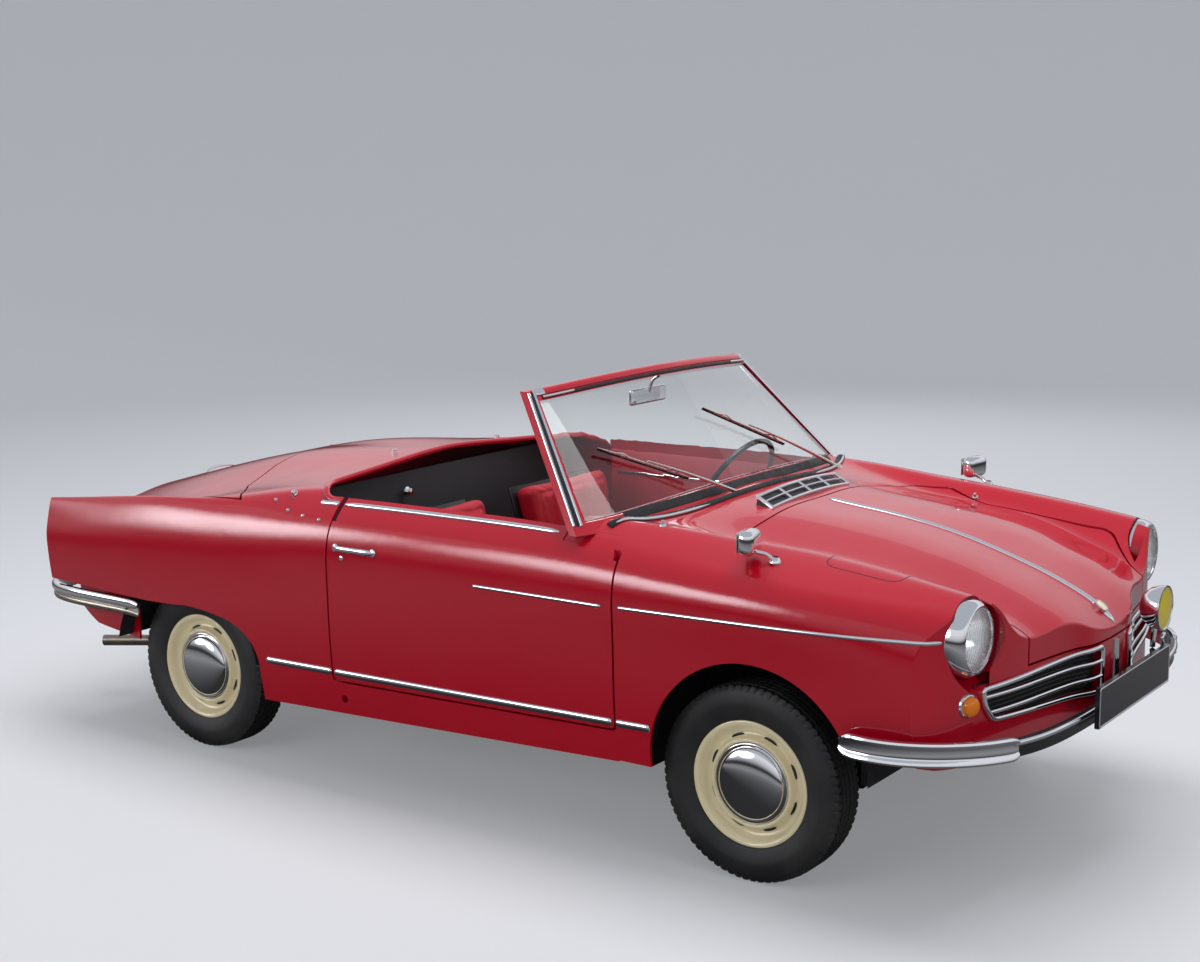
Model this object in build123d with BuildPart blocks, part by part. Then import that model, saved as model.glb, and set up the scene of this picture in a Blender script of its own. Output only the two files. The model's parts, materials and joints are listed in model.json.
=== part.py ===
"""Open two-seat sports car of the 1960s, rear-engined, with two doors, a front luggage lid and a rear
engine lid.

Frame: millimetres, +X forward, +Y to the car's left, +Z up. The origin is on the ground, halfway
between the foremost and rearmost points. Places along the body are given from the nearer axle.
"""
from build123d import *
import math
import os

# ---- Driving dimensions ------------------------------------------------------------------------
WHEELBASE = 2020
FRONT_OVERHANG = 760          # front axle to the foremost point, the number plate
REAR_OVERHANG = 800           # rear axle to the rearmost point, the bumper
FRONT_TRACK = 1249
REAR_TRACK = 1227
HALF_WIDTH = 758              # centre plane to the body side at its waist
BELT_Z = 870                  # top of the doors
SILL_Z = 248                  # underside of the sills, midway
WAIST_RISE = 395              # underside of the sills to the widest level
SCREEN_RISE = 343             # door top to the windscreen's top corners
SKIN = 8                      # panel thickness
DOOR_DEPTH = 88               # outside to inside trim, at the waist
PANEL_GAP = 6                 # shut lines round what opens
DOOR_LIP = 12                 # how far a door's skin stands past its inner box
FIT = 1                       # between fixed pieces that stand side by side

TYRE_RADIUS = 262
TYRE_WIDTH = 128
RIM_RADIUS = 168              # outer edge of the rim
RIM_SEAT_RADIUS = 153         # where the tyre's bead sits
SPINDLE_RADIUS = 14
RUNNING = 0.05                # radial clearance of a pin that turns
ARCH_MARGIN = 38              # tyre tread to the front wheel arch
KINGPIN_INSET = 95            # tyre's middle plane to the kingpin
STEER_LOCK = 30               # degrees each way

STEERING_WHEEL_RADIUS = 190
TUNNEL_HALF = 90
SEAT_WIDTH = 480
SEAT_Y = TUNNEL_HALF + SEAT_WIDTH / 2     # middle of each seat

FRONT_AXLE_X = (FRONT_OVERHANG + WHEELBASE + REAR_OVERHANG) / 2 - FRONT_OVERHANG
REAR_AXLE_X = FRONT_AXLE_X - WHEELBASE
AXLE_Z = TYRE_RADIUS
LEFT, RIGHT = 1, -1
FAR = 4000                    # past the body, for cutting prisms


def fore(x):
    """Place x millimetres ahead of the front axle."""
    return FRONT_AXLE_X + x


def aft(x):
    """Place x millimetres ahead of the rear axle."""
    return REAR_AXLE_X + x


# ---- Cutting prisms ----------------------------------------------------------------------------
def plan_prism(points, low=-FAR, high=FAR, radius=0, margin=0):
    """Upright prism over a plan outline, grown by margin, its corners rounded by radius."""
    with BuildPart() as prism:
        with BuildSketch(Plane.XY.offset(low)):
            Polygon(*points, align=None)
            if margin:
                offset(amount=margin, kind=Kind.INTERSECTION)
            if radius:
                fillet(vertices(), radius)
        extrude(amount=high - low)
    return prism.part


def both_sides(points):
    """A plan outline on the left from the centre plane, closed with its mirror image."""
    return points + [(x, -y) for x, y in reversed(points) if y]


def side_prism(points, inner=-FAR, outer=FAR, radius=0, margin=0):
    """Prism across the body over a side-view outline (x, z), from y=inner to y=outer."""
    with BuildPart() as prism:
        with BuildSketch(Plane.XZ.offset(-inner)):
            Polygon(*points, align=None)
            if margin:
                offset(amount=margin, kind=Kind.INTERSECTION)
            if radius:
                fillet(vertices(), radius)
        extrude(amount=-(outer - inner))
    return prism.part


def block(x0, x1, y0, y1, z0, z1):
    """Box between two corners."""
    with BuildPart() as box:
        with Locations(((x0 + x1) / 2, (y0 + y1) / 2, (z0 + z1) / 2)):
            Box(x1 - x0, y1 - y0, z1 - z0)
    return box.part


def tube_between(start, end, radius):
    """Round bar from one point to another."""
    a, b = Vector(*start), Vector(*end)
    with BuildPart() as bar:
        with BuildSketch(Plane(origin=a, z_dir=b - a)):
            Circle(radius)
        extrude(amount=(b - a).length)
    return bar.part


def joined(*parts):
    """One part from several that touch."""
    with BuildPart() as whole:
        for part in parts:
            add(part)
    return whole.part


def carve(source, keep=(), drop=()):
    """What source has inside every prism of keep and outside every prism of drop."""
    with BuildPart() as piece:
        add(source)
        for region in keep:
            add(region, mode=Mode.INTERSECT)
        for region in drop:
            add(region, mode=Mode.SUBTRACT)
    return piece.part


def finish(part, name):
    part.label = name
    export_step(part, f"parts/{name}.step")
    print(name, len(part.solids()), round(part.volume / 1e6, 3), part.is_valid, flush=True)
    return part


def pair(name, part):
    """Write the left piece and its mirror image."""
    finish(part, f"{name}_left")
    finish(mirror(part, about=Plane.XZ), f"{name}_right")


# ---- Body lines --------------------------------------------------------------------------------
def fair_line(*points):
    """Smooth function through points (x, value), straight beyond its ends."""
    xs, values = zip(*sorted(points))
    last = len(xs) - 1
    slopes = []
    for i in range(len(xs)):
        before, after = max(i - 1, 0), min(i + 1, last)
        slopes.append((values[after] - values[before]) / (xs[after] - xs[before]))

    def value(x):
        if x <= xs[0]:
            return values[0] + slopes[0] * (x - xs[0])
        if x >= xs[last]:
            return values[last] + slopes[last] * (x - xs[last])
        i = max(k for k in range(last) if xs[k] <= x)
        step = xs[i + 1] - xs[i]
        t = (x - xs[i]) / step
        start = values[i] * (1 + 2 * t) * (1 - t) ** 2 + slopes[i] * step * t * (1 - t) ** 2
        end = values[i + 1] * t * t * (3 - 2 * t) + slopes[i + 1] * step * t * t * (t - 1)
        return start + end

    return value


def height(*points):
    """Line of heights, given from the belt."""
    return fair_line(*[(x, BELT_Z + rise) for x, rise in points])


def breadth(*points):
    """Line of half breadths, given inwards from the waist's."""
    return fair_line(*[(x, HALF_WIDTH - inward) for x, inward in points])


# Crown on the centre plane, then its height a third of the way out.
crown_z = height(
    (fore(800), -370), (fore(700), -236), (fore(657), -194), (fore(546), -136), (fore(404), -85),
    (fore(259), -43), (fore(78), -10), (fore(-140), 14), (fore(-330), 35), (fore(-900), 60),
    (aft(720), 60), (aft(440), 46), (aft(270), 38), (aft(100), 26), (aft(-50), 4),
    (aft(-195), -24), (aft(-440), -85), (aft(-730), -165), (aft(-830), -195))
flank_z = height(
    (fore(800), -350), (fore(700), -222), (fore(580), -148), (fore(430), -94), (fore(300), -54),
    (fore(145), -25), (fore(-100), 3), (fore(-330), 24), (fore(-900), 45),
    (aft(440), 35), (aft(100), 15), (aft(-195), -40), (aft(-440), -100), (aft(-830), -205))
# Hollow between the crown and the wing.
hollow_y = breadth(
    (fore(800), 308), (fore(580), 298), (fore(400), 278), (fore(-100), 258), (fore(-330), 218),
    (fore(-600), 168), (aft(620), 168), (aft(220), 168), (aft(-80), 148), (aft(-830), 158))
hollow_z = height(
    (fore(800), -310), (fore(700), -212), (fore(640), -180), (fore(580), -145), (fore(430), -100),
    (fore(310), -70), (fore(145), -48), (fore(-100), -25), (fore(-330), 10), (fore(-600), 23),
    (aft(620), 20), (aft(440), 10), (aft(220), -25), (aft(20), -70), (aft(-195), -105),
    (aft(-440), -148), (aft(-830), -230))
# Crest of the wing, which becomes the tail fin.
crest_y = breadth(
    (fore(800), 178), (fore(480), 168), (fore(80), 158), (fore(-275), 118), (fore(-600), 86),
    (aft(620), 76), (aft(220), 58), (aft(-170), 61), (aft(-410), 70), (aft(-830), 86))
crest_z = height(
    (fore(800), -130), (fore(600), -75), (fore(480), -55), (fore(280), -30), (fore(80), -12),
    (fore(-70), -4), (fore(-275), 4), (fore(-600), 2), (fore(-1000), -2), (aft(620), -10),
    (aft(420), -28), (aft(190), -55), (aft(-170), -79), (aft(-411), -104), (aft(-680), -133),
    (aft(-830), -145))
shoulder_y = breadth(
    (fore(800), 118), (fore(480), 82), (fore(280), 60), (fore(0), 46), (fore(-600), 31),
    (aft(620), 26), (aft(190), 27), (aft(-170), 35), (aft(-480), 50), (aft(-830), 72))
shoulder_z = height(
    (fore(800), -180), (fore(600), -115), (fore(480), -95), (fore(280), -73), (fore(0), -58),
    (fore(-600), -52), (aft(620), -65), (aft(420), -85), (aft(190), -105), (aft(-170), -130),
    (aft(-480), -165), (aft(-830), -205))
waist_y = breadth(
    (fore(800), 98), (fore(600), 50), (fore(480), 30), (fore(280), 12), (fore(0), 5),
    (fore(-600), 1), (aft(620), 0), (aft(190), 3), (aft(-170), 12), (aft(-480), 29), (aft(-830), 58))
rocker_y = breadth(
    (fore(800), 158), (fore(600), 103), (fore(480), 73), (fore(280), 48), (fore(0), 36),
    (aft(620), 34), (aft(-170), 46), (aft(-830), 98))
waist_z = fair_line(
    (fore(800), SILL_Z + WAIST_RISE - 50), (fore(0), SILL_Z + WAIST_RISE), (aft(620), SILL_Z + WAIST_RISE - 5),
    (aft(-830), SILL_Z + WAIST_RISE - 65))
rocker_z = SILL_Z - 28
skirt_z = SILL_Z - 128

STATIONS = [
    fore(800), fore(740), fore(690), fore(640), fore(590), fore(520), fore(440), fore(340), fore(220),
    fore(80), fore(-80), fore(-260), fore(-450), fore(-700), fore(-1000), aft(720), aft(520), aft(320),
    aft(170), aft(20), aft(-180), aft(-380), aft(-580), aft(-730), aft(-830)]


def half_section(x):
    """Points (y, z) of the body's section at x, from the crown outwards and down."""
    waist = waist_z(x)
    return [
        (0, crown_z(x)), (HALF_WIDTH / 3, flank_z(x)), (hollow_y(x), hollow_z(x)),
        (crest_y(x), crest_z(x)), (shoulder_y(x), shoulder_z(x)), (waist_y(x), waist),
        (waist_y(x) - 5, waist - 190), (rocker_y(x), rocker_z), (rocker_y(x) - 25, skirt_z)]


# Distance round the half section to each of its points, the same at every station.
GIRTHS = [250, 470, 640, 710, 860, 1050, 1260, 1360]
SECTION_STEPS = [0.5 + g / GIRTHS[-1] / 2 for g in [-h for h in reversed(GIRTHS)] + [0] + GIRTHS]


def inset_section(points, inset):
    """The same points moved inwards, square to the outline."""
    moved = []
    for i, (y, z) in enumerate(points):
        before, after = points[max(i - 1, 0)], points[min(i + 1, len(points) - 1)]
        run, fall = (1, 0) if i == 0 else (after[0] - before[0], after[1] - before[1])
        length = math.hypot(run, fall)
        moved.append((y + fall / length * inset, z - run / length * inset))
    return moved


NOSE_X = fore(702)
TAIL_X = aft(-684)
TAIL_BOW = 14
NOSE_ROUND = 8                # radius between the nose and the panels above it
LAMP_X = fore(538)            # where the wings end behind the headlamps' rings
LAMP_Y = HALF_WIDTH - 172
LAMP_Z = BELT_Z - 165
LAMP_RING_RADIUS = 95
LAMP_FLARE = 55               # widening of the recess round each headlamp, over as much length
TAIL_LEAN = 42                # how far the fins' lower corners stand ahead of their tips


def plan_outline(inset):
    """Plan of nose and tail: a bowed front with rounded corners and a slightly bowed tail."""
    side = HALF_WIDTH + 40
    corner = inset_section([
        (fore(300), side), (fore(462), HALF_WIDTH - 22), (fore(540), HALF_WIDTH - 88),
        (fore(582), HALF_WIDTH - 172), (fore(630), HALF_WIDTH - 360), (fore(672), HALF_WIDTH - 570),
        (NOSE_X, 0)], inset)
    with BuildLine() as outline:
        nose = Spline(*corner[:-1], (NOSE_X - inset, 0), tangents=[(1, -0.35), (0, -1)])
        flank = Line(nose @ 0, (TAIL_X + 20 + inset, side))
        Spline(flank @ 1, (TAIL_X + inset, HALF_WIDTH - 60), (TAIL_X - TAIL_BOW + inset, 0),
               tangents=[(-0.2, -1), (0, -1)])
        mirror(about=Plane.XZ)
    return outline.line


def plan_band(outer_inset, inner_inset, low, high):
    """Band between two insets of the nose's plan outline, from low to high."""
    with BuildPart() as band:
        for inset, mode in ((outer_inset, Mode.ADD), (inner_inset, Mode.SUBTRACT)):
            with BuildSketch(Plane.XY.offset(low)):
                with BuildLine():
                    add(plan_outline(inset))
                make_face()
            extrude(amount=high - low, mode=mode)
    return band.part


def tail_wedge(inset):
    """What is cut off behind the leaning tail."""
    top = TAIL_X - TAIL_BOW + inset
    drop = BELT_Z - 133
    return side_prism([
        (top - 300, BELT_Z + 200), (top, BELT_Z + 200), (top, drop),
        (top + TAIL_LEAN * (drop - 100) / (drop - 470), 100), (top - 300, 100)])


def lamp_recess(inset):
    """What is cut off ahead of the left headlamp: a hole as wide as its ring, flaring forward."""
    with BuildPart() as recess:
        with BuildSketch(Plane.YZ.offset(LAMP_X - inset)):
            with Locations((LAMP_Y, LAMP_Z)):
                Circle(LAMP_RING_RADIUS + inset)
        with BuildSketch(Plane.YZ.offset(LAMP_X - inset + LAMP_FLARE)):
            with Locations((LAMP_Y, LAMP_Z)):
                Circle(LAMP_RING_RADIUS + inset + LAMP_FLARE)
        loft()
    return recess.part


def section_rim(x, inset):
    """Closed outline of the body's section at x."""
    half = inset_section(half_section(x), inset)
    left_half = [Vector(-y, z) for y, z in reversed(half)]
    right_half = [Vector(y, z) for y, z in half[1:]]
    return Edge.make_spline(left_half + right_half, parameters=SECTION_STEPS)


def form(inset):
    """The body's closed outer form, drawn in by inset."""
    recess = lamp_recess(inset)
    with BuildPart() as body:
        for x in STATIONS:
            with BuildSketch(Plane.YZ.offset(x)):
                with BuildLine():
                    rim = section_rim(x, inset)
                    add(rim)
                    Line(rim @ 1, rim @ 0)
                make_face()
        loft()
        with BuildSketch(Plane.XY):
            with BuildLine():
                add(plan_outline(inset))
            make_face()
        extrude(amount=FAR, mode=Mode.INTERSECT)
        nose_edges = edges().filter_by(lambda edge: edge.center().X > fore(400) and edge.center().Z > 400)
        if inset < NOSE_ROUND:
            fillet(nose_edges, NOSE_ROUND - inset)
        add(tail_wedge(inset), mode=Mode.SUBTRACT)
        add(recess, mode=Mode.SUBTRACT)
        add(mirror(recess, about=Plane.XZ), mode=Mode.SUBTRACT)
    return body.part


# ---- Shut lines --------------------------------------------------------------------------------
DOOR_FRONT_X = fore(-372)
DOOR_REAR_X = aft(644)
door_line = [
    (DOOR_FRONT_X, 362), (DOOR_FRONT_X, BELT_Z - 50), (DOOR_FRONT_X - 60, BELT_Z + 60),
    (DOOR_REAR_X, BELT_Z + 60), (DOOR_REAR_X, 338)]
DOOR_CORNER = 14
DOOR_INNER_Y = HALF_WIDTH - DOOR_DEPTH

BONNET_REAR_X = fore(-165)
BONNET_FRONT_Z = BELT_Z - 258
BONNET_CORNER = 60
bonnet_line = [
    (NOSE_X + 60, HALF_WIDTH - 358), (fore(592), HALF_WIDTH - 358), (fore(500), HALF_WIDTH - 258),
    (fore(300), HALF_WIDTH - 278), (fore(120), HALF_WIDTH - 286), (fore(-10), HALF_WIDTH - 242),
    (fore(-125), HALF_WIDTH - 255), (BONNET_REAR_X, HALF_WIDTH - 328)]

BONNET_HINGE_X = BONNET_REAR_X - 1
BONNET_HINGE_Z = BELT_Z + 19

LID_REAR_X = aft(-625)
LID_LOW_Z = BELT_Z - 240
LID_HINGE_X = aft(226)
LID_HINGE_Z = BELT_Z + 16
lid_line = [
    (LID_REAR_X, 0), (LID_REAR_X, HALF_WIDTH - 108), (aft(0), HALF_WIDTH - 88), (aft(220), HALF_WIDTH - 72),
    (aft(60), HALF_WIDTH - 258), (aft(-10), 300), (aft(-55), 0)]

COCKPIT_HALF = DOOR_INNER_Y - FIT
COCKPIT_CORNER = 60
cockpit_line = [
    (fore(-420), 0), (fore(-425), HALF_WIDTH - 428), (fore(-500), HALF_WIDTH - 198),
    (fore(-560), COCKPIT_HALF), (aft(575), COCKPIT_HALF), (aft(500), HALF_WIDTH - 188), (aft(475), 0)]

JACK_X = aft(675)
JACK_Z = SILL_Z + 34
JACK_RADIUS = 12
JACK_LENGTH = 40
JACK_FACE_Y = HALF_WIDTH - 21      # the sill's outside at the sockets' height

FRONT_ARCH_X = fore(35)
FRONT_ARCH_Z = AXLE_Z + ARCH_MARGIN
FRONT_ARCH_RADIUS = TYRE_RADIUS + ARCH_MARGIN
REAR_ARCH_FRONT_X = aft(333)
REAR_EDGE_Z = 476
SILL_FRONT_X = FRONT_ARCH_X - FRONT_ARCH_RADIUS + 2
SILL_EDGE = [(SILL_FRONT_X + 9, 372), (REAR_ARCH_FRONT_X - 9, 340)]

NOSE_HALF = HALF_WIDTH - 146
SCUTTLE_HALF = HALF_WIDTH - 158    # scuttle and rear deck, to the wings
POD_INNER_Y = LAMP_Y - LAMP_RING_RADIUS - 2
VALANCE_Z = 400
VALANCE_INSET = 62            # the rear valance stands in from the body side
GRILLE_RIM = 11
GRILLE_PROUD = 5              # surround ahead of the nose
GRILLE_DEPTH = 15             # and behind it


def grille_outline(side, margin):
    """Front view of one air intake: wide, low, narrowing outwards."""
    points = [
        (92, 478), (HALF_WIDTH - 210, 498), (HALF_WIDTH - 180, 540), (HALF_WIDTH - 170, 588), (92, 606)]
    with BuildSketch(Plane.YZ.offset(fore(300))) as outline:
        with BuildSketch():
            Polygon(*[(side * y, z) for y, z in points], align=None)
            fillet(vertices(), 16)
            if margin:
                offset(amount=-margin)
    return outline.sketch


def grille_prism(side, margin):
    return extrude(grille_outline(side, margin), amount=700)


def grilles():
    """Bright surround and two bars in each intake, following the nose."""
    slab = plan_band(-GRILLE_PROUD, GRILLE_DEPTH, low=460, high=625)
    pieces = []
    for side in (LEFT, RIGHT):
        ring = carve(slab, [grille_prism(side, 0.5)], [grille_prism(side, GRILLE_RIM)])
        bars = carve(
            slab, [grille_prism(side, GRILLE_RIM - 1)],
            [block(fore(300), FAR, -FAR, FAR, low, high) for low, high in ((0, 518), (528, 558), (568, 700))])
        pieces += [ring, bars]
    finish(joined(*pieces), "grilles")


def wheel_arch(x, z, radius):
    """Prism through both wings round a front wheel."""
    with BuildPart() as arch:
        with BuildSketch(Plane.XZ.offset(-FAR / 2)):
            with Locations((x, z)):
                Circle(radius)
        extrude(amount=FAR)
    return arch.part


def rear_arch():
    """Prism through both rear wings: an arc ahead of the wheel, then a level edge to the tail."""
    with BuildPart() as arch:
        with BuildSketch(Plane.XZ.offset(-FAR / 2)):
            with BuildLine():
                start = (REAR_ARCH_FRONT_X + 4, -FAR)
                rise = Line(start, (REAR_ARCH_FRONT_X + 4, 300))
                bend = Spline(
                    rise @ 1, (aft(264), 438), (aft(153), 471), (aft(30), REAR_EDGE_Z + 5),
                    (aft(-156), REAR_EDGE_Z - 4), tangents=[(0, 1), (-1, -0.03)])
                edge = Line(bend @ 1, (aft(-900), REAR_EDGE_Z + 6))
                Polyline(edge @ 1, (aft(-900), -FAR), start)
            make_face()
        extrude(amount=FAR)
    return arch.part


def blade(outside_points, inside_points, low, high):
    """Bowed strip between two heights, from side to side round one end of the body."""
    with BuildPart() as strip:
        with BuildSketch(Plane.XY.offset(low)):
            with BuildLine():
                outside = Spline(*outside_points)
                inside = Spline(*inside_points)
                Line(outside @ 0, inside @ 0)
                Line(outside @ 1, inside @ 1)
            make_face()
            mirror(about=Plane.XZ)
        extrude(amount=high - low)
    return strip.part


def doors(outer):
    """Each door: a skin with the full outline and a slightly smaller box behind it."""
    skin = carve(outer, [side_prism(door_line, inner=HALF_WIDTH - 30, outer=FAR, radius=DOOR_CORNER)])
    hinge_post = block(DOOR_FRONT_X - 190, FAR, 0, HALF_WIDTH - 52, 440, FAR)
    box = carve(
        outer, [side_prism(door_line, inner=DOOR_INNER_Y, outer=FAR, radius=DOOR_CORNER, margin=-DOOR_LIP)],
        [hinge_post])
    pair("door", joined(box, skin))


def sills(outer, door_holes, front_arch, sill_floor):
    """Box sections under the doors, between the arches, with a jack socket in each."""
    span = block(REAR_ARCH_FRONT_X, DOOR_FRONT_X + PANEL_GAP, DOOR_INNER_Y - 40, FAR, 0, 500)
    above = side_prism([*SILL_EDGE, (REAR_ARCH_FRONT_X - 9, BELT_Z), (SILL_FRONT_X + 9, BELT_Z)])
    socket = tube_between(
        (JACK_X, JACK_FACE_Y - JACK_LENGTH, JACK_Z), (JACK_X, JACK_FACE_Y + JACK_LENGTH, JACK_Z), JACK_RADIUS)
    sill = carve(outer, [span], [sill_floor, *door_holes, above, front_arch, socket])
    finish(joined(sill, mirror(sill, about=Plane.XZ)), "sills")


def front_panels(shell, bonnet_hole, door_holes, cockpit, front_arch):
    """Nose, scuttle and front wings."""
    under_front = side_prism(
        [(fore(900), -FAR), (fore(900), VALANCE_Z), (fore(520), VALANCE_Z), (fore(320), VALANCE_Z + 40),
         (SILL_FRONT_X, SILL_Z + 28), (SILL_FRONT_X, -FAR)])
    pod_low = LAMP_Z - LAMP_RING_RADIUS
    nose_region = joined(
        block(fore(380), FAR, -NOSE_HALF, NOSE_HALF, -FAR, pod_low),
        block(fore(380), FAR, -POD_INNER_Y, POD_INNER_Y, pod_low - 1, BONNET_FRONT_Z + 40))
    intakes = [grille_prism(side, 0) for side in (LEFT, RIGHT)]
    finish(carve(shell, [nose_region], [bonnet_hole, under_front, *intakes]), "nose_panel")
    scuttle_region = block(fore(-600), fore(-100), -SCUTTLE_HALF, SCUTTLE_HALF, BELT_Z - 140, FAR)
    finish(carve(shell, [scuttle_region], [bonnet_hole, cockpit]), "scuttle_panel")
    behind_door_front = block(-FAR, DOOR_FRONT_X + PANEL_GAP, -FAR, FAR, -FAR, BELT_Z - 40)
    below_wing = block(-FAR, FRONT_ARCH_X, -FAR, FAR, -FAR, SILL_Z + 26)
    lamp_hole = tube_between(
        (LAMP_X - 100, LAMP_Y, LAMP_Z), (LAMP_X + 100, LAMP_Y, LAMP_Z), LAMP_RING_RADIUS - 10)
    pair("front_wing", carve(
        shell, [block(fore(-600), FAR, 100, FAR, -FAR, FAR)],
        [bonnet_hole, nose_region, scuttle_region, front_arch, under_front, cockpit, behind_door_front,
         below_wing, lamp_hole, *door_holes, *intakes]))


def rear_valance():
    """Painted panel under the tail, between the rear wings' lower edges and the bumper."""
    side = HALF_WIDTH - 80
    skirt = blade(
        [(aft(-278), side), (aft(-520), side - 16), (TAIL_X + 50, side - 60), (TAIL_X + 28, side - 220),
         (TAIL_X + 22, 0)],
        [(aft(-278), side - SKIN), (aft(-515), side - 16 - SKIN), (TAIL_X + 58, side - 60 - SKIN),
         (TAIL_X + 36, side - 222), (TAIL_X + 30, 0)], 290, REAR_EDGE_Z - 6)
    below = side_prism([
        (TAIL_X - 200, 395), (aft(-583), 376), (aft(-495), 336), (aft(-205), 306), (aft(-205), 0),
        (TAIL_X - 200, 0)])
    finish(carve(skirt, drop=[below]), "rear_valance")


def rear_panels(shell, lid_hole, door_holes, cockpit, sill_floor):
    """Rear deck, tail and rear wings."""
    deck_region = block(aft(-300), aft(700), -SCUTTLE_HALF, SCUTTLE_HALF, BELT_Z - 140, FAR)
    finish(carve(shell, [deck_region], [cockpit, lid_hole]), "rear_deck")
    tail_region = block(TAIL_X - 100, aft(-600), -SCUTTLE_HALF, SCUTTLE_HALF, REAR_EDGE_Z - 4, FAR)
    finish(carve(shell, [tail_region], [lid_hole]), "tail_panel")
    rear_valance()
    below_quarter = side_prism([*SILL_EDGE, (REAR_ARCH_FRONT_X - 9, 0), (SILL_FRONT_X + 9, 0)])
    pair("rear_wing", carve(
        shell, [block(TAIL_X - 100, DOOR_REAR_X + 60, 100, FAR, -FAR, FAR)],
        [lid_hole, deck_region, tail_region, rear_arch(), sill_floor, *door_holes, cockpit, below_quarter]))


def body_panels(form_outside):
    """Every panel, cut from one shell of the body's form."""
    shell = form_outside - form(SKIN)
    front_arch = wheel_arch(FRONT_ARCH_X, FRONT_ARCH_Z, FRONT_ARCH_RADIUS)
    sill_floor = side_prism(
        [(SILL_FRONT_X + 10, -FAR), (SILL_FRONT_X + 10, SILL_Z + 27), (REAR_ARCH_FRONT_X - 10, SILL_Z - 26),
         (REAR_ARCH_FRONT_X - 10, -FAR)])
    cockpit = plan_prism(both_sides(cockpit_line), low=BELT_Z - 250, radius=COCKPIT_CORNER)
    bonnet_plan = both_sides(bonnet_line)
    bonnet_hole = plan_prism(
        bonnet_plan, low=BONNET_FRONT_Z - PANEL_GAP, radius=BONNET_CORNER, margin=PANEL_GAP)
    lid_plan = both_sides(lid_line)
    lid_hole = plan_prism(lid_plan, low=LID_LOW_Z, margin=PANEL_GAP)
    door_holes = [
        side_prism(door_line, inner, outer, DOOR_CORNER, PANEL_GAP)
        for inner, outer in ((COCKPIT_HALF, FAR), (-FAR, -COCKPIT_HALF))]

    finish(carve(shell, [plan_prism(bonnet_plan, low=BONNET_FRONT_Z, radius=BONNET_CORNER)]), "bonnet")
    finish(carve(shell, [plan_prism(lid_plan, low=LID_LOW_Z)]), "engine_lid")
    doors(form_outside)
    sills(form_outside, door_holes, front_arch, sill_floor)
    front_panels(shell, bonnet_hole, door_holes, cockpit, front_arch)
    rear_panels(shell, lid_hole, door_holes, cockpit, sill_floor)


# ---- Glass and screen --------------------------------------------------------------------------
SCREEN_BASE_Z = BELT_Z - 4
SCREEN_TOP_Z = SCREEN_BASE_Z + SCREEN_RISE
FRAME_DEPTH = 22
FRAME_WIDTH = 26
GLASS = 6
SCREEN_FOOT_Y = HALF_WIDTH - 36
SCREEN_HEAD_Y = HALF_WIDTH - 191
SCREEN_CROWN = 23             # rise of the header between its corners
# Plan of the screen at its foot and at its top corners, from the centre plane outwards.
screen_foot = [
    (fore(-352), 0), (fore(-368), HALF_WIDTH - 458), (fore(-410), HALF_WIDTH - 228),
    (fore(-462), HALF_WIDTH - 98), (fore(-513), SCREEN_FOOT_Y)]
screen_head = [
    (fore(-700), 0), (fore(-712), HALF_WIDTH - 523), (fore(-738), HALF_WIDTH - 343),
    (fore(-762), HALF_WIDTH - 243), (fore(-784), SCREEN_HEAD_Y)]


def screen_band(depth, shift=0):
    """Curved leaning slab, much taller than the screen, that the screen's pieces are cut from."""
    with BuildPart() as band:
        for z in (SCREEN_BASE_Z - 120, SCREEN_TOP_Z + 60):
            share = (z - SCREEN_BASE_Z) / SCREEN_RISE
            outer = [
                (x0 + (x1 - x0) * share + shift, y0 + (y1 - y0) * share)
                for (x0, y0), (x1, y1) in zip(screen_foot, screen_head)]
            front = [(x, -y) for x, y in reversed(outer)] + outer[1:]
            with BuildSketch(Plane.XY.offset(z)):
                with BuildLine():
                    face = Spline(*front)
                    back = Spline(*[(x - depth, y) for x, y in front])
                    Line(face @ 0, back @ 0)
                    Line(face @ 1, back @ 1)
                make_face()
        loft()
    return band.part


def screen_prism(margin=0, foot=34):
    """Front-view outline of the screen, drawn in by margin, its lower edge bowed up by foot."""
    low = SCREEN_BASE_Z - 6
    with BuildPart() as prism:
        with BuildSketch(Plane.YZ.offset(fore(-1200))):
            with BuildLine():
                side = Line((SCREEN_FOOT_Y, low), (SCREEN_HEAD_Y, SCREEN_TOP_Z))
                top = ThreePointArc(side @ 1, (0, SCREEN_TOP_Z + SCREEN_CROWN), (-SCREEN_HEAD_Y, SCREEN_TOP_Z))
                other = Line(top @ 1, (-SCREEN_FOOT_Y, low))
                ThreePointArc(other @ 1, (0, low + foot), side @ 0)
            make_face()
            if margin:
                offset(amount=-margin, kind=Kind.INTERSECTION)
        extrude(amount=1500)
    return prism.part


def windscreen(body):
    """Frame, and glass halfway through its depth."""
    opening = screen_prism(FRAME_WIDTH, foot=40)
    finish(carve(screen_band(FRAME_DEPTH), [screen_prism()], [opening, body]), "windscreen_frame")
    glass = screen_band(GLASS, (GLASS - FRAME_DEPTH) / 2)
    finish(carve(glass, [opening], [body]), "windscreen_glass")


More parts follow.
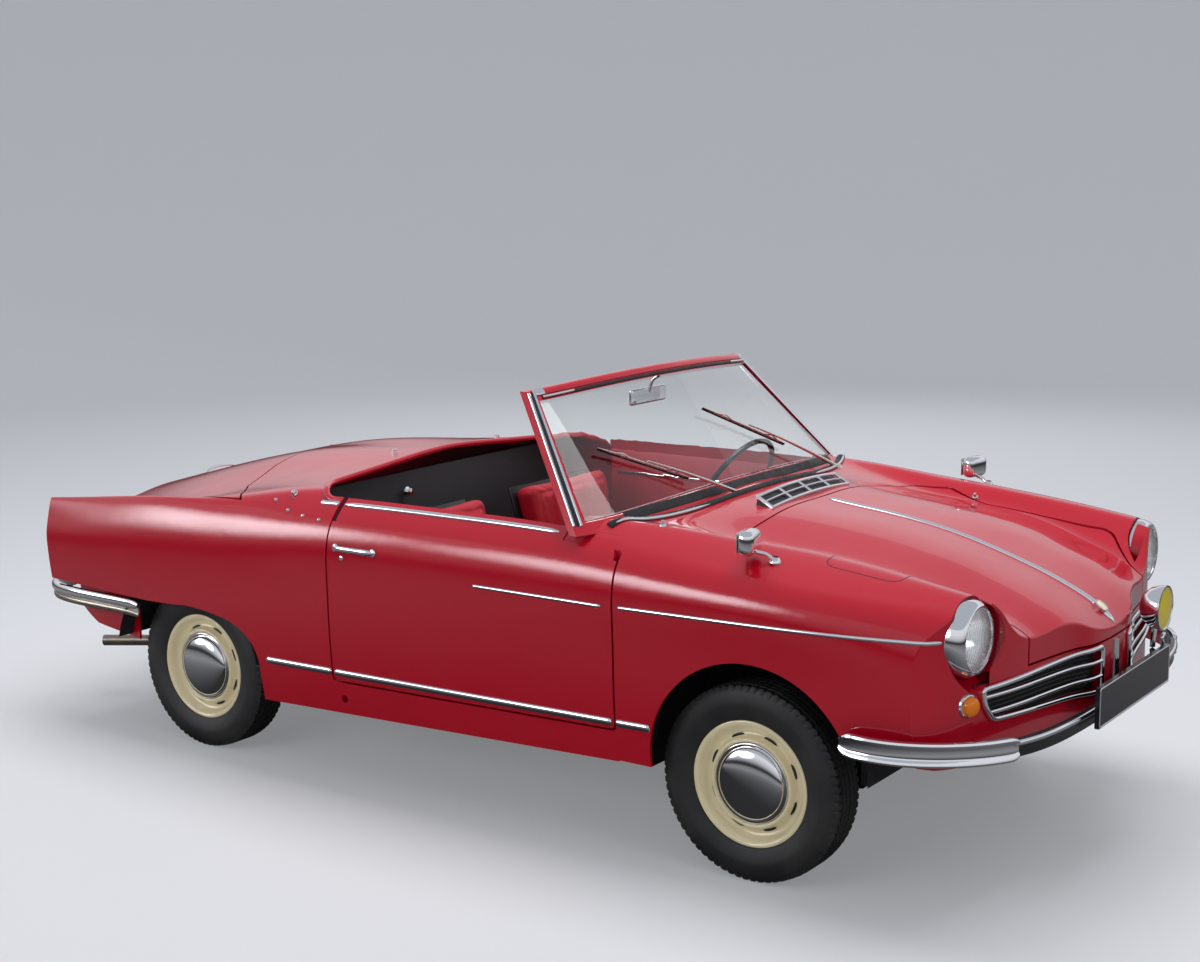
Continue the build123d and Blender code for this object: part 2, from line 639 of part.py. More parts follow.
# ---- Wheels ------------------------------------------------------------------------------------
def tyre(x, track):
    """Tyre section with rounded shoulders, turned about the axle."""
    half = TYRE_WIDTH / 2
    with BuildPart() as piece:
        with BuildSketch(Plane.XY):
            with BuildLine():
                Polyline(
                    (-half + 14, RIM_SEAT_RADIUS), (half - 14, RIM_SEAT_RADIUS), (half - 14, RIM_RADIUS + 1),
                    (half, TYRE_RADIUS - 55), (half - 12, TYRE_RADIUS - 9), (half - 30, TYRE_RADIUS),
                    (30 - half, TYRE_RADIUS), (12 - half, TYRE_RADIUS - 9), (-half, TYRE_RADIUS - 55),
                    (-half + 14, RIM_RADIUS + 1), (-half + 14, RIM_SEAT_RADIUS))
            make_face()
        revolve(axis=Axis.X)
    return Pos(x, track / 2, AXLE_Z) * Rot(0, 0, 90) * piece.part


def rim(x, track):
    """Drop-centre rim, dished disc with its hub bore, and a domed cap over the hub."""
    half = TYRE_WIDTH / 2 - 14
    with BuildPart() as piece:
        with BuildSketch(Plane.XY):
            with BuildLine():
                Polyline(
                    (-half - 4, RIM_RADIUS), (-half - 4, RIM_SEAT_RADIUS - 4), (half - 4, RIM_SEAT_RADIUS - 4),
                    (half - 4, 118), (half - 14, 100), (half - 2, 60), (half - 2, 0),
                    (half + 22, 0), (half + 19, 40), (half + 8, 84), (half - 2, 100), (half + 2, 118),
                    (half + 2, RIM_RADIUS - 8), (half + 4, RIM_RADIUS), (half, RIM_RADIUS),
                    (half, RIM_SEAT_RADIUS), (-half, RIM_SEAT_RADIUS), (-half, RIM_RADIUS),
                    (-half - 4, RIM_RADIUS))
            make_face()
        revolve(axis=Axis.X)
        with BuildSketch(Plane.YZ.offset(half - 2)):
            Circle(60)
            Circle(SPINDLE_RADIUS + RUNNING, mode=Mode.SUBTRACT)
        extrude(amount=-62)
    return Pos(x, track / 2, AXLE_Z) * Rot(0, 0, 90) * piece.part


def wheels():
    for place, x, track in (("front", FRONT_AXLE_X, FRONT_TRACK), ("rear", REAR_AXLE_X, REAR_TRACK)):
        pair(f"tyre_{place}", tyre(x, track))
        pair(f"rim_{place}", rim(x, track))


HUB_FACE = TYRE_WIDTH / 2 - 14 - 2      # wheel's middle plane to the bore's outer end


def knuckle():
    """Upright on its kingpin, with the brake drum's back plate and the wheel spindle."""
    middle = FRONT_TRACK / 2
    kingpin = middle - KINGPIN_INSET
    with BuildPart() as piece:
        with Locations((FRONT_AXLE_X, kingpin, AXLE_Z)):
            Cylinder(17, 150)
        with BuildSketch(Plane.XZ.offset(-kingpin)):
            with Locations((FRONT_AXLE_X, AXLE_Z)):
                Circle(SPINDLE_RADIUS)
        extrude(amount=-(middle + HUB_FACE - 4 - kingpin))
        with BuildSketch(Plane.XZ.offset(-(middle - 44))):
            with Locations((FRONT_AXLE_X, AXLE_Z)):
                Circle(DRUM_RADIUS)
        extrude(amount=22)
    return piece.part


DRUM_RADIUS = 92


def suspension():
    """Fixed arms that carry the knuckles in front and the wheels' spindles behind."""
    kingpin = FRONT_TRACK / 2 - KINGPIN_INSET
    front = [block(fore(-110), fore(110), -262, 262, AXLE_Z - 112, AXLE_Z - 72)]
    for side in (LEFT, RIGHT):
        front.append(
            block(fore(-110), fore(110), side * 251 - 20, side * 251 + 20, AXLE_Z - 100, AXLE_Z + 112))
        for z in (AXLE_Z - 92, AXLE_Z + 92):
            for end in (fore(90), fore(-90)):
                front.append(tube_between((FRONT_AXLE_X, side * kingpin, z), (end, side * 240, z), 13))
        for z in (AXLE_Z - 99, AXLE_Z + 79):
            front.append(tube_between(
                (FRONT_AXLE_X, side * kingpin, z), (FRONT_AXLE_X, side * kingpin, z + 20), 20))
    finish(joined(*front), "front_suspension")

    middle = REAR_TRACK / 2
    rear = []
    for side in (LEFT, RIGHT):
        for start, end, radius in (
                (middle - 110, middle + HUB_FACE - 4, SPINDLE_RADIUS),
                (middle - 70, middle - 44, DRUM_RADIUS), (150, middle - 60, 24)):
            rear.append(tube_between(
                (REAR_AXLE_X, side * start, AXLE_Z), (REAR_AXLE_X, side * end, AXLE_Z), radius))
        for end in (330, 480):
            rear.append(tube_between(
                (aft(-10), side * (middle - 100), AXLE_Z), (aft(330), side * end, AXLE_Z), 20))
    finish(joined(*rear), "rear_suspension")
    pair("knuckle", knuckle())


# ---- Under and inside --------------------------------------------------------------------------
WHEEL_CENTRE = (fore(-665), SEAT_Y, BELT_Z - 68)
WHEEL_AXIS = (-0.88, 0, 0.475)    # along the column, towards the driver
COLUMN_RADIUS = 22


def column(radius):
    """Steering column's jacket."""
    axis = Vector(*WHEEL_AXIS).normalized()
    centre = Vector(*WHEEL_CENTRE)
    reach = (fore(-320) - WHEEL_CENTRE[0]) / -axis.X
    return tube_between(tuple(centre - axis * 74), tuple(centre - axis * reach), radius)


FLOOR_Z = SILL_Z - 14
FLOOR = 12                    # thickness of the floor and its walls
FLOOR_HALF = DOOR_INNER_Y - 42
TUB_HALF = 396
ENGINE_BAY_HALF = 480
SHEET = 10                    # thickness of the trays


def structure():
    """Floor with its tunnel and end walls, both luggage trays, and the engine as one block."""
    pieces = [
        block(aft(345), fore(-330), -FLOOR_HALF, FLOOR_HALF, FLOOR_Z, FLOOR_Z + FLOOR),
        block(aft(345), fore(-335), -TUNNEL_HALF, TUNNEL_HALF, FLOOR_Z, FLOOR_Z + 120),
        block(fore(-342), fore(-330), -FLOOR_HALF, FLOOR_HALF, FLOOR_Z, BELT_Z - 60),
        block(aft(400), aft(412), -FLOOR_HALF, FLOOR_HALF, FLOOR_Z, BELT_Z - 90),
        block(aft(345), aft(400), -FLOOR_HALF, FLOOR_HALF, FLOOR_Z, FLOOR_Z + FLOOR)]
    finish(carve(joined(*pieces), drop=[column(COLUMN_RADIUS + FIT)]), "floor_pan")
    tray = block(fore(-329), fore(540), -TUB_HALF, TUB_HALF, 385, 385 + SHEET)
    sides = [
        block(fore(-329), fore(540), side * TUB_HALF - 5, side * TUB_HALF + 5, 385, BELT_Z - 200)
        for side in (LEFT, RIGHT)]
    finish(joined(tray, *sides), "front_luggage_tub")
    shelf = block(aft(-420), aft(399), -ENGINE_BAY_HALF, ENGINE_BAY_HALF, 590, 590 + SHEET)
    walls = [
        block(aft(-480), aft(399), side * ENGINE_BAY_HALF - 5, side * ENGINE_BAY_HALF + 5, 300, 640)
        for side in (LEFT, RIGHT)]
    finish(joined(shelf, *walls), "engine_bay")
    finish(block(aft(-520), aft(-120), -210, 210, 185, 570), "engine_block")


def seat():
    """Cushion and back in one L shape, rounded all round."""
    with BuildPart() as piece:
        with BuildSketch(Plane.XZ.offset(SEAT_WIDTH / 2)):
            with BuildLine():
                Polyline(
                    (fore(-760), 300), (fore(-760), 455), (fore(-1180), 425), (fore(-1290), BELT_Z - 60),
                    (fore(-1400), BELT_Z - 60), (fore(-1290), 300), (fore(-760), 300))
            make_face()
            fillet(vertices(), 28)
        extrude(amount=-SEAT_WIDTH)
        fillet(faces().filter_by(Axis.Y).edges(), 22)
    return Pos(0, SEAT_Y, 0) * piece.part


DASH_HALF = DOOR_INNER_Y - 40


def dash():
    """Padded roll across the car, over a panel that leans away below it."""
    with BuildPart() as piece:
        with BuildSketch(Plane.XZ.offset(DASH_HALF)):
            with BuildLine():
                Polyline(
                    (fore(-345), BELT_Z - 58), (fore(-440), BELT_Z - 15), (fore(-520), BELT_Z - 32),
                    (fore(-535), BELT_Z - 75), (fore(-500), BELT_Z - 200), (fore(-460), BELT_Z - 200),
                    (fore(-460), BELT_Z - 80), (fore(-345), BELT_Z - 58))
            make_face()
        extrude(amount=-2 * DASH_HALF)
    return piece.part


def steering():
    """Wheel with a flat bar of spokes and its hub, and the column's jacket."""
    axis = Vector(*WHEEL_AXIS).normalized()
    centre = Vector(*WHEEL_CENTRE)
    plane = Plane(origin=centre, x_dir=(0, 1, 0), z_dir=axis)
    with BuildPart() as wheel:
        with BuildSketch(Plane(origin=centre + plane.x_dir * STEERING_WHEEL_RADIUS, x_dir=plane.x_dir,
                               z_dir=plane.y_dir)):
            Circle(10)
        revolve(axis=Axis(centre, axis))
        with BuildSketch(plane):
            Rectangle(2 * STEERING_WHEEL_RADIUS - 8, 22)
            Circle(34)
        extrude(amount=-8)
        with BuildSketch(plane.offset(-6)):
            Circle(13)
        extrude(amount=-60)
    finish(wheel.part, "steering_wheel")
    finish(column(COLUMN_RADIUS), "steering_column")


def exhaust():
    """Silencer on the right and its tail pipe."""
    silencer = tube_between((aft(-330), -320, 190), (aft(-560), -320, 190), 62)
    tail = tube_between((aft(-560), -320, 190), (aft(-770), -420, 182), 19)
    finish(joined(silencer, tail), "exhaust")


# ---- Outside fittings --------------------------------------------------------------------------
BUMPER_TOP_Z = 480
PLATE_HALF = 260
FOG_LAMP_Y = 225
WIPER_RADIUS = 5


def bumpers(body):
    """Front bumper on two brackets, and the rear one round the tail."""
    front = blade(
        [(fore(290), HALF_WIDTH), (fore(480), HALF_WIDTH - 6), (fore(650), HALF_WIDTH - 150),
         (fore(722), HALF_WIDTH - 420), (fore(742), 0)],
        [(fore(290), HALF_WIDTH - 7), (fore(474), HALF_WIDTH - 14), (fore(632), HALF_WIDTH - 160),
         (fore(702), HALF_WIDTH - 420), (fore(720), 0)], 418, BUMPER_TOP_Z)
    brackets = [
        block(fore(560), fore(712), side * 330 - 15, side * 330 + 15, 440, 460) for side in (LEFT, RIGHT)]
    finish(carve(joined(front, *brackets), drop=[body]), "front_bumper")
    rear = blade(
        [(aft(-196), HALF_WIDTH - 14), (aft(-520), HALF_WIDTH - 34), (aft(-690), HALF_WIDTH - 80),
         (aft(-772), HALF_WIDTH - 270), (aft(-REAR_OVERHANG), 0)],
        [(aft(-196), HALF_WIDTH - 26), (aft(-515), HALF_WIDTH - 47), (aft(-672), HALF_WIDTH - 92),
         (aft(-752), HALF_WIDTH - 276), (aft(20 - REAR_OVERHANG), 0)], 408, 462)
    finish(rear, "rear_bumper")


def number_plates():
    """Blank plates: one on the front bumper, one leaning on the tail."""
    front = block(fore(FRONT_OVERHANG - 12), fore(FRONT_OVERHANG), -PLATE_HALF, PLATE_HALF, 430, 535)
    stay = block(fore(742.5), fore(FRONT_OVERHANG - 12), -60, 60, 440, 470)
    lean = math.degrees(math.atan2(TAIL_LEAN, BELT_Z - 133 - 470))
    with BuildPart() as rear:
        with Locations(Location((TAIL_X - TAIL_BOW + 20, 0, 566), (0, -lean, 0))):
            Box(10, 2 * PLATE_HALF, 110)
    finish(joined(front, stay, rear.part), "number_plates")


def dome(radius, rise):
    """Middle point, in the revolving plane, of a cap of this radius and rise."""
    ball = (radius ** 2 + rise ** 2) / (2 * rise)
    half_angle = math.asin(radius / ball) / 2
    return ball * math.cos(half_angle) - ball + rise, ball * math.sin(half_angle)


def lamps(body):
    """Headlamps, fog lamp, indicators and tail lamps."""
    with BuildPart() as head:
        with BuildSketch(Plane.XY):
            with BuildLine():
                Polyline((-52, 0), (-40, 50), (-12, LAMP_RING_RADIUS - 11), (1, LAMP_RING_RADIUS - 11),
                         (1, LAMP_RING_RADIUS), (24, LAMP_RING_RADIUS), (36, LAMP_RING_RADIUS - 14))
                along, out = dome(LAMP_RING_RADIUS - 14, 22)
                ThreePointArc((36, LAMP_RING_RADIUS - 14), (36 + along, out), (58, 0))
                Line((58, 0), (-52, 0))
            make_face()
        revolve(axis=Axis.X)
    headlamp = Pos(LAMP_X, LAMP_Y, LAMP_Z) * head.part
    finish(joined(headlamp, mirror(headlamp, about=Plane.XZ)), "headlights")
    bowl = Pos(fore(737), FOG_LAMP_Y, 640) * Rot(0, 90, 0) * Cone(42, 64, 38)
    stem = tube_between((fore(726), FOG_LAMP_Y, BUMPER_TOP_Z), (fore(732), FOG_LAMP_Y, 600), 8)
    finish(joined(bowl, stem), "fog_lamp")
    indicator_y = HALF_WIDTH - 141
    amber = carve(
        tube_between((fore(530), indicator_y, 550), (fore(606), indicator_y, 550), 22), drop=[body])
    finish(joined(amber, mirror(amber, about=Plane.XZ)), "front_indicators")
    lamp_x, lamp_y = TAIL_X - TAIL_BOW + 2, HALF_WIDTH - 104
    tail = carve(tube_between((lamp_x - 15, lamp_y, 640), (lamp_x + 15, lamp_y, 640), 30), drop=[body])
    finish(joined(tail, mirror(tail, about=Plane.XZ)), "tail_lamps")


def mirrors(body):
    """Two mirrors on the front wings and one behind the windscreen's header."""
    stalk_y, head_y = HALF_WIDTH - 109, HALF_WIDTH - 82
    stalk = tube_between((fore(56), stalk_y, BELT_Z - 50), (fore(10), head_y - 6, BELT_Z + 8), 6)
    head = tube_between((fore(-18), head_y, BELT_Z + 24), (fore(12), head_y, BELT_Z + 24), 43)
    mirror_left = carve(joined(stalk, head), drop=[body])
    finish(joined(mirror_left, mirror(mirror_left, about=Plane.XZ)), "wing_mirrors")
    plate = block(fore(-770), fore(-755), -95, 95, SCREEN_TOP_Z - 95, SCREEN_TOP_Z - 45)
    arm = tube_between((fore(-756), 0, SCREEN_TOP_Z - 60), (fore(-716), 0, SCREEN_TOP_Z - 6), 5)
    finish(joined(plate, arm), "interior_mirror")


def scuttle_fittings(body):
    """Air intake ahead of the windscreen, and the wipers at rest, both towards the right."""
    vent = block(fore(-250), fore(-196), -225, 225, BELT_Z, BELT_Z + 58)
    finish(carve(vent, drop=[body]), "scuttle_vent")
    right = tube_between((fore(-342), -104, BELT_Z + 13), (fore(-577), -497, BELT_Z + 184), WIPER_RADIUS)
    left = tube_between((fore(-384), 505, BELT_Z + 10), (fore(-570), 34, BELT_Z + 233), WIPER_RADIUS)
    finish(carve(joined(right, left), drop=[body]), "wipers")


if __name__ == "__main__":
    os.makedirs("parts", exist_ok=True)
    whole = form(0)
    body_panels(whole)
    wheels()
    suspension()
    structure()
    pair("seat", seat())
    finish(carve(dash(), drop=[column(COLUMN_RADIUS + FIT)]), "dashboard")
    steering()
    exhaust()
    windscreen(whole)
    grilles()
    bumpers(whole)
    number_plates()
    lamps(whole)
    mirrors(whole)
    scuttle_fittings(whole)
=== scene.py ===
"""Looks of the open two-seater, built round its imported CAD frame. Metres, +X forward, +Y left, +Z up."""
import json
import math

import bmesh
import bpy
from mathutils import Matrix, Vector
from mathutils.bvhtree import BVHTree


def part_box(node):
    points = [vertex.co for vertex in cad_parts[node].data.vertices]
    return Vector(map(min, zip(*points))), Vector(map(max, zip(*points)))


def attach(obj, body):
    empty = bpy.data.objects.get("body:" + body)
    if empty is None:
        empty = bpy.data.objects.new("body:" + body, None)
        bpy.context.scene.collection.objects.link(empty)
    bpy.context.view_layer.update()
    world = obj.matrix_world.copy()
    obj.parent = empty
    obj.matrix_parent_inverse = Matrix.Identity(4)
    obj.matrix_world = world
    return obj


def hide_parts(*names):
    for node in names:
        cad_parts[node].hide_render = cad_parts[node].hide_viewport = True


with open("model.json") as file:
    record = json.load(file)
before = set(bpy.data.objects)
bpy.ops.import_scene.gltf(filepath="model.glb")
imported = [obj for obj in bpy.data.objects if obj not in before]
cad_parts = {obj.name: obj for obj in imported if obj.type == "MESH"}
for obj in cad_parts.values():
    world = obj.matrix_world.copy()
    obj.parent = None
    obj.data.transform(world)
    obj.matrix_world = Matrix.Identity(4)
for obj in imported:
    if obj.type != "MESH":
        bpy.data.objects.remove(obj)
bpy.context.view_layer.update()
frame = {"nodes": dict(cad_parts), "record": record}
NODES = frame["nodes"]
SIDES = (("left", 1), ("right", -1))
ORIGIN = (0, 0, 0)
AHEAD, LEFT, UP = (1, 0, 0), (0, 1, 0), (0, 0, 1)


# ---- Materials ----
def new_material(name, color, roughness=0.5, metallic=0.0, **sockets):
    """Principled material, with further sockets by name (underscores for spaces)."""
    material = bpy.data.materials.new(name)
    material.use_nodes = True
    inputs = material.node_tree.nodes["Principled BSDF"].inputs
    inputs["Base Color"].default_value = (*color, 1)
    inputs["Roughness"].default_value = roughness
    inputs["Metallic"].default_value = metallic
    for socket, value in sockets.items():
        inputs[socket.replace("_", " ")].default_value = value
    return material


def shader_node(tree, kind, inputs=(), **settings):
    """Shader node whose inputs are set to values, or linked where the value is another node's output."""
    node = tree.nodes.new("ShaderNode" + kind)
    for name, value in settings.items():
        setattr(node, name, value)
    for name, value in dict(inputs).items():
        if isinstance(value, bpy.types.NodeSocket):
            tree.links.new(value, node.inputs[name])
        else:
            node.inputs[name].default_value = value
    return node


def noise_of(tree, scale, detail):
    """Noise in the object's own coordinates."""
    place = shader_node(tree, "TexCoord").outputs["Object"]
    return shader_node(tree, "TexNoise", {"Vector": place, "Scale": scale, "Detail": detail}).outputs["Fac"]


def relief(tree, height, strength, distance):
    """Bump on a material's surface."""
    bump = shader_node(tree, "Bump", {"Height": height, "Strength": strength, "Distance": distance})
    tree.links.new(bump.outputs["Normal"], tree.nodes["Principled BSDF"].inputs["Normal"])


def grain(material, scale, strength, distance=0.001):
    """Fine relief."""
    tree = material.node_tree
    relief(tree, noise_of(tree, scale, 3), strength, distance)


def mottle(material, low, high, scale, socket="Base Color"):
    """Vary a colour, or a grey level, between two values by noise."""
    tree = material.node_tree
    ramp = shader_node(tree, "ValToRGB", {"Fac": noise_of(tree, scale, 4)})
    for element, place, value in zip(ramp.color_ramp.elements, (0.35, 0.65), (low, high)):
        element.position = place
        element.color = (*value, 1) if isinstance(value, tuple) else (value, value, value, 1)
    tree.links.new(ramp.outputs["Color"], tree.nodes["Principled BSDF"].inputs[socket])


def fluted(material, scale, strength, distance):
    """Upright flutes, as on a lamp's lens."""
    tree = material.node_tree
    place = shader_node(tree, "TexCoord").outputs["Object"]
    wave = shader_node(tree, "TexWave", {"Vector": place, "Scale": scale}, bands_direction="Y")
    relief(tree, wave.outputs["Fac"], strength, distance)


def make_materials():
    """Every finish on the car, by name."""
    made = {
        "paint": new_material(
            "red_enamel", (0.4, 0.0, 0.012), 0.4, Coat_Weight=1.0, Coat_Roughness=0.045,
            Specular_IOR_Level=0.15),
        "chrome": new_material("chrome", (0.84, 0.85, 0.87), 0.05, 1.0),
        "satin": new_material("satin_steel", (0.82, 0.8, 0.75), 0.3, 1.0),
        "silvered": new_material("silvered_reflector", (0.94, 0.95, 0.96), 0.3, 0.55),
        "rubber": new_material("rubber", (0.012, 0.012, 0.013), 0.5),
        "tyre": new_material("tyre_rubber", (0.018, 0.018, 0.019), 0.6),
        "ivory": new_material("ivory_enamel", (0.74, 0.64, 0.4), 0.3, Coat_Weight=0.6, Coat_Roughness=0.08),
        "glass": new_material("clear_glass", (0.97, 0.99, 0.98), 0.0, Transmission_Weight=1.0, IOR=1.45),
        "lens": new_material("lamp_glass", (1.0, 1.0, 1.0), 0.02, Transmission_Weight=1.0, IOR=1.3),
        "yellow": new_material("yellow_glass", (0.95, 0.78, 0.08), 0.08, Transmission_Weight=0.5, IOR=1.45),
        "orange": new_material("orange_lens", (0.9, 0.24, 0.01), 0.1, Transmission_Weight=0.3, IOR=1.45),
        "red_lens": new_material("red_lens", (0.6, 0.004, 0.004), 0.1, Transmission_Weight=0.3, IOR=1.45),
        "black": new_material("black_enamel", (0.01, 0.01, 0.011), 0.25),
        "matt": new_material("underseal", (0.014, 0.014, 0.015), 0.85),
        "alloy": new_material("cast_alloy", (0.42, 0.42, 0.43), 0.5, 1.0),
        "vinyl": new_material("red_vinyl", (0.34, 0.004, 0.014), 0.42),
        "dash": new_material("dash_vinyl", (0.03, 0.03, 0.033), 0.55),
        "carpet": new_material("carpet", (0.03, 0.028, 0.028), 0.95),
        "plate": new_material("plate_black", (0.008, 0.008, 0.009), 0.18),
        "steel": new_material("pipe_steel", (0.35, 0.33, 0.3), 0.35, 1.0),
        "dial": new_material("dial_face", (0.02, 0.02, 0.022), 0.3),
        "figures": new_material("dial_figures", (0.85, 0.83, 0.75), 0.5),
    }
    grain(made["matt"], 120, 0.5)
    grain(made["dash"], 420, 0.3, distance=0.0006)
    grain(made["vinyl"], 520, 0.25, distance=0.0005)
    grain(made["tyre"], 260, 0.15)
    grain(made["alloy"], 300, 0.35)
    grain(made["carpet"], 900, 0.9, distance=0.002)
    mottle(made["chrome"], 0.035, 0.075, 14, "Roughness")
    mottle(made["satin"], 0.2, 0.34, 60, "Roughness")
    mottle(made["steel"], (0.3, 0.28, 0.26), (0.4, 0.34, 0.26), 18)
    mottle(made["tyre"], (0.013, 0.013, 0.014), (0.024, 0.023, 0.022), 9)
    mottle(made["rubber"], 0.42, 0.6, 40, "Roughness")
    mottle(made["paint"], 0.3, 0.4, 5, "Roughness")
    mottle(made["silvered"], 0.22, 0.36, 30, "Roughness")
    fluted(made["lens"], 42, 0.2, 0.001)
    fluted(made["yellow"], 48, 0.3, 0.002)
    return made


M = make_materials()
# the record's material slot that each finish goes to
SLOTS = {
    "paint": "paint", "chrome": "chrome", "satin": "wiper_metal", "silvered": "chrome",
    "rubber": "black_plastic", "tyre": "tyre", "ivory": "ivory_paint", "glass": "glass",
    "lens": "lamp_glass", "yellow": "amber_glass", "orange": "orange_lens", "red_lens": "red_lens",
    "black": "black_metal", "matt": "underbody", "alloy": "cast_alloy", "vinyl": "red_vinyl",
    "dash": "dash_trim", "carpet": "underbody", "plate": "plate_black", "steel": "steel",
    "dial": "black_plastic", "figures": "ivory_paint"}


# ---- Places on the frame ----
def middle(node):
    """Middle of a CAD node's box."""
    low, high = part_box(node)
    return (low + high) / 2


FRONT_AXLE_X = middle("tyre_front_left").x
REAR_AXLE_X = middle("tyre_rear_left").x


def fore(x):
    """Place x metres ahead of the front axle."""
    return FRONT_AXLE_X + x


def aft(x):
    """Place x metres ahead of the rear axle."""
    return REAR_AXLE_X + x


def at(x, y, z):
    """Point x metres ahead of the front axle."""
    return fore(x), y, z


def tree_of(*names):
    """Ray target made of CAD nodes."""
    verts, faces = [], []
    for name in names:
        mesh = NODES[name].data
        start = len(verts)
        verts += [v.co.copy() for v in mesh.vertices]
        faces += [[i + start for i in p.vertices] for p in mesh.polygons]
    return BVHTree.FromPolygons(verts, faces)


def cast(tree, start, direction):
    """First point of a tree along a ray, and the surface's normal facing the ray."""
    direction = Vector(direction).normalized()
    place, normal, _, _ = tree.ray_cast(Vector(start), direction)
    if place is None:
        raise ValueError(f"nothing at {tuple(start)} along {tuple(direction)}")
    return place, normal if normal.dot(direction) < 0 else -normal


def from_side(tree, x, z, side):
    return cast(tree, (x, 3 * side, z), (0, -side, 0))


def from_above(tree, x, y):
    return cast(tree, (x, y, 3), (0, 0, -1))


def from_ahead(tree, y, z):
    return cast(tree, (3, y, z), (-1, 0, 0))


def from_behind(tree, y, z):
    return cast(tree, (-3, y, z), AHEAD)


def mm(*values):
    """Pairs in metres from a run of millimetres."""
    return [(a / 1000, b / 1000) for a, b in zip(values[::2], values[1::2])]


def spread(low, high, count):
    """Evenly spaced values from low to high."""
    return [low + (high - low) * i / (count - 1) for i in range(count)]


def curve(points, steps=8):
    """Smooth run of points through a few."""
    points = [Vector(p) for p in points]
    found = []
    for i in range(len(points) - 1):
        a, b = points[max(i - 1, 0)], points[i]
        c, d = points[i + 1], points[min(i + 2, len(points) - 1)]
        bend, twist = 2 * a - 5 * b + 4 * c - d, 3 * b - a - 3 * c + d
        for t in (k / steps for k in range(steps)):
            found.append(0.5 * (2 * b + (c - a) * t + bend * t ** 2 + twist * t ** 3))
    return found + [points[-1]]


# ---- Mesh helpers ----
def piece(name, shape, finish, body="body", smooth=35, replaces=()):
    """Mesh piece riding on a body, with edges sharper than smooth degrees kept crisp."""
    verts, faces = shape
    mesh = bpy.data.meshes.new(name)
    mesh.from_pydata([tuple(v) for v in verts], [], faces)
    mesh.validate()
    made = bpy.data.objects.new(name, mesh)
    bpy.context.scene.collection.objects.link(made)
    mesh.materials.append(M[finish])
    work = bmesh.new()
    work.from_mesh(mesh)
    bmesh.ops.recalc_face_normals(work, faces=work.faces)
    work.to_mesh(mesh)
    work.free()
    mesh.shade_smooth()
    mesh.set_sharp_from_angle(angle=math.radians(smooth))
    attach(made, body)
    if replaces:
        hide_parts(*replaces)
    return made


def join(*shapes):
    """One shape from several."""
    verts, faces = [], []
    for more_verts, more_faces in shapes:
        start = len(verts)
        verts += list(more_verts)
        faces += [tuple(i + start for i in face) for face in more_faces]
    return verts, faces


def mirrored(shape):
    """The shape's mirror image across the middle of the car."""
    verts, faces = shape
    return [(v[0], -v[1], v[2]) for v in verts], [tuple(reversed(face)) for face in faces]


def both_sides(shape):
    """The shape and its mirror image."""
    return join(shape, mirrored(shape))


def grid_faces(rows, count, rows_closed=False, closed=False):
    """Faces between rows of count points each."""
    faces = []
    for i in range(rows if rows_closed else rows - 1):
        here, beyond = i * count, (i + 1) % rows * count
        for k in range(count if closed else count - 1):
            m = (k + 1) % count
            faces.append((here + k, here + m, beyond + m, beyond + k))
    return faces


def lathe(profile, origin, axis, segments=64, closed=False):
    """Shape turned from (along, radius) points about an axis through origin."""
    turn = Vector(LEFT).rotation_difference(Vector(axis).normalized()).to_matrix()
    verts = []
    for i in range(segments):
        angle = 2 * math.pi * i / segments
        for along, radius in profile:
            point = turn @ Vector((radius * math.cos(angle), along, radius * math.sin(angle)))
            verts.append(point + Vector(origin))
    return verts, grid_faces(segments, len(profile), True, closed)


def sweep(path, normals, profile, scales=None, closed=False):
    """Profile of (across, out) points carried along a path whose outward normals are given."""
    path = [Vector(p) for p in path]
    count, last = len(profile), len(path) - 1
    verts = []
    for i, place in enumerate(path):
        before = path[i - 1] if i or closed else place
        after = path[(i + 1) % len(path)] if i < last or closed else place
        along = (after - before).normalized()
        across = along.cross(Vector(normals[i])).normalized()
        out = across.cross(along)
        size = scales[i] if scales else 1
        verts += [place + across * a * size + out * o * size for a, o in profile]
    faces = grid_faces(len(path), count, closed, True)
    if not closed:
        faces += [tuple(range(count)), tuple(last * count + k for k in range(count))]
    return verts, faces


def ribbon(hits, profile, scales=None, closed=False):
    """Profile carried along surface points, standing out along their normals."""
    path, normals = zip(*hits)
    return sweep(path, normals, profile, scales, closed)


def moved(hits, x, y, z):
    """The same surface points, shifted."""
    return [(place + Vector((x, y, z)), normal) for place, normal in hits]


def oval(across, out, count):
    """Section of a grip or rod."""
    return [(math.cos(a) * across, math.sin(a) * out) for a in spread(0, 2 * math.pi, count + 1)[:-1]]


def rod(path, radius, segments=12, up=UP):
    """Round rod along a path."""
    return sweep(path, [up] * len(path), oval(radius, radius, segments))


def half_round(width, height, sink=0.001, steps=8):
    """Moulding section: an arc over the surface and a flat back just under it."""
    arc = [(-math.cos(math.pi * k / steps) * width / 2, math.sin(math.pi * k / steps) * height)
           for k in range(steps + 1)]
    return [*arc, (width / 2, -sink), (-width / 2, -sink)]


def whole(half):
    """Section from its left half."""
    return [*half, *[(-a, o) for a, o in reversed(half)]]


def ridged(width, height, sink=0.001):
    """Moulding section with two rounded ridges and a groove between."""
    half = ((-0.5, 0.1), (-0.46, 0.6), (-0.38, 0.92), (-0.28, 1), (-0.18, 0.92), (-0.08, 0.62),
            (-0.03, 0.5))
    return [*whole([(a * width, o * height) for a, o in half]), (width / 2, -sink), (-width / 2, -sink)]


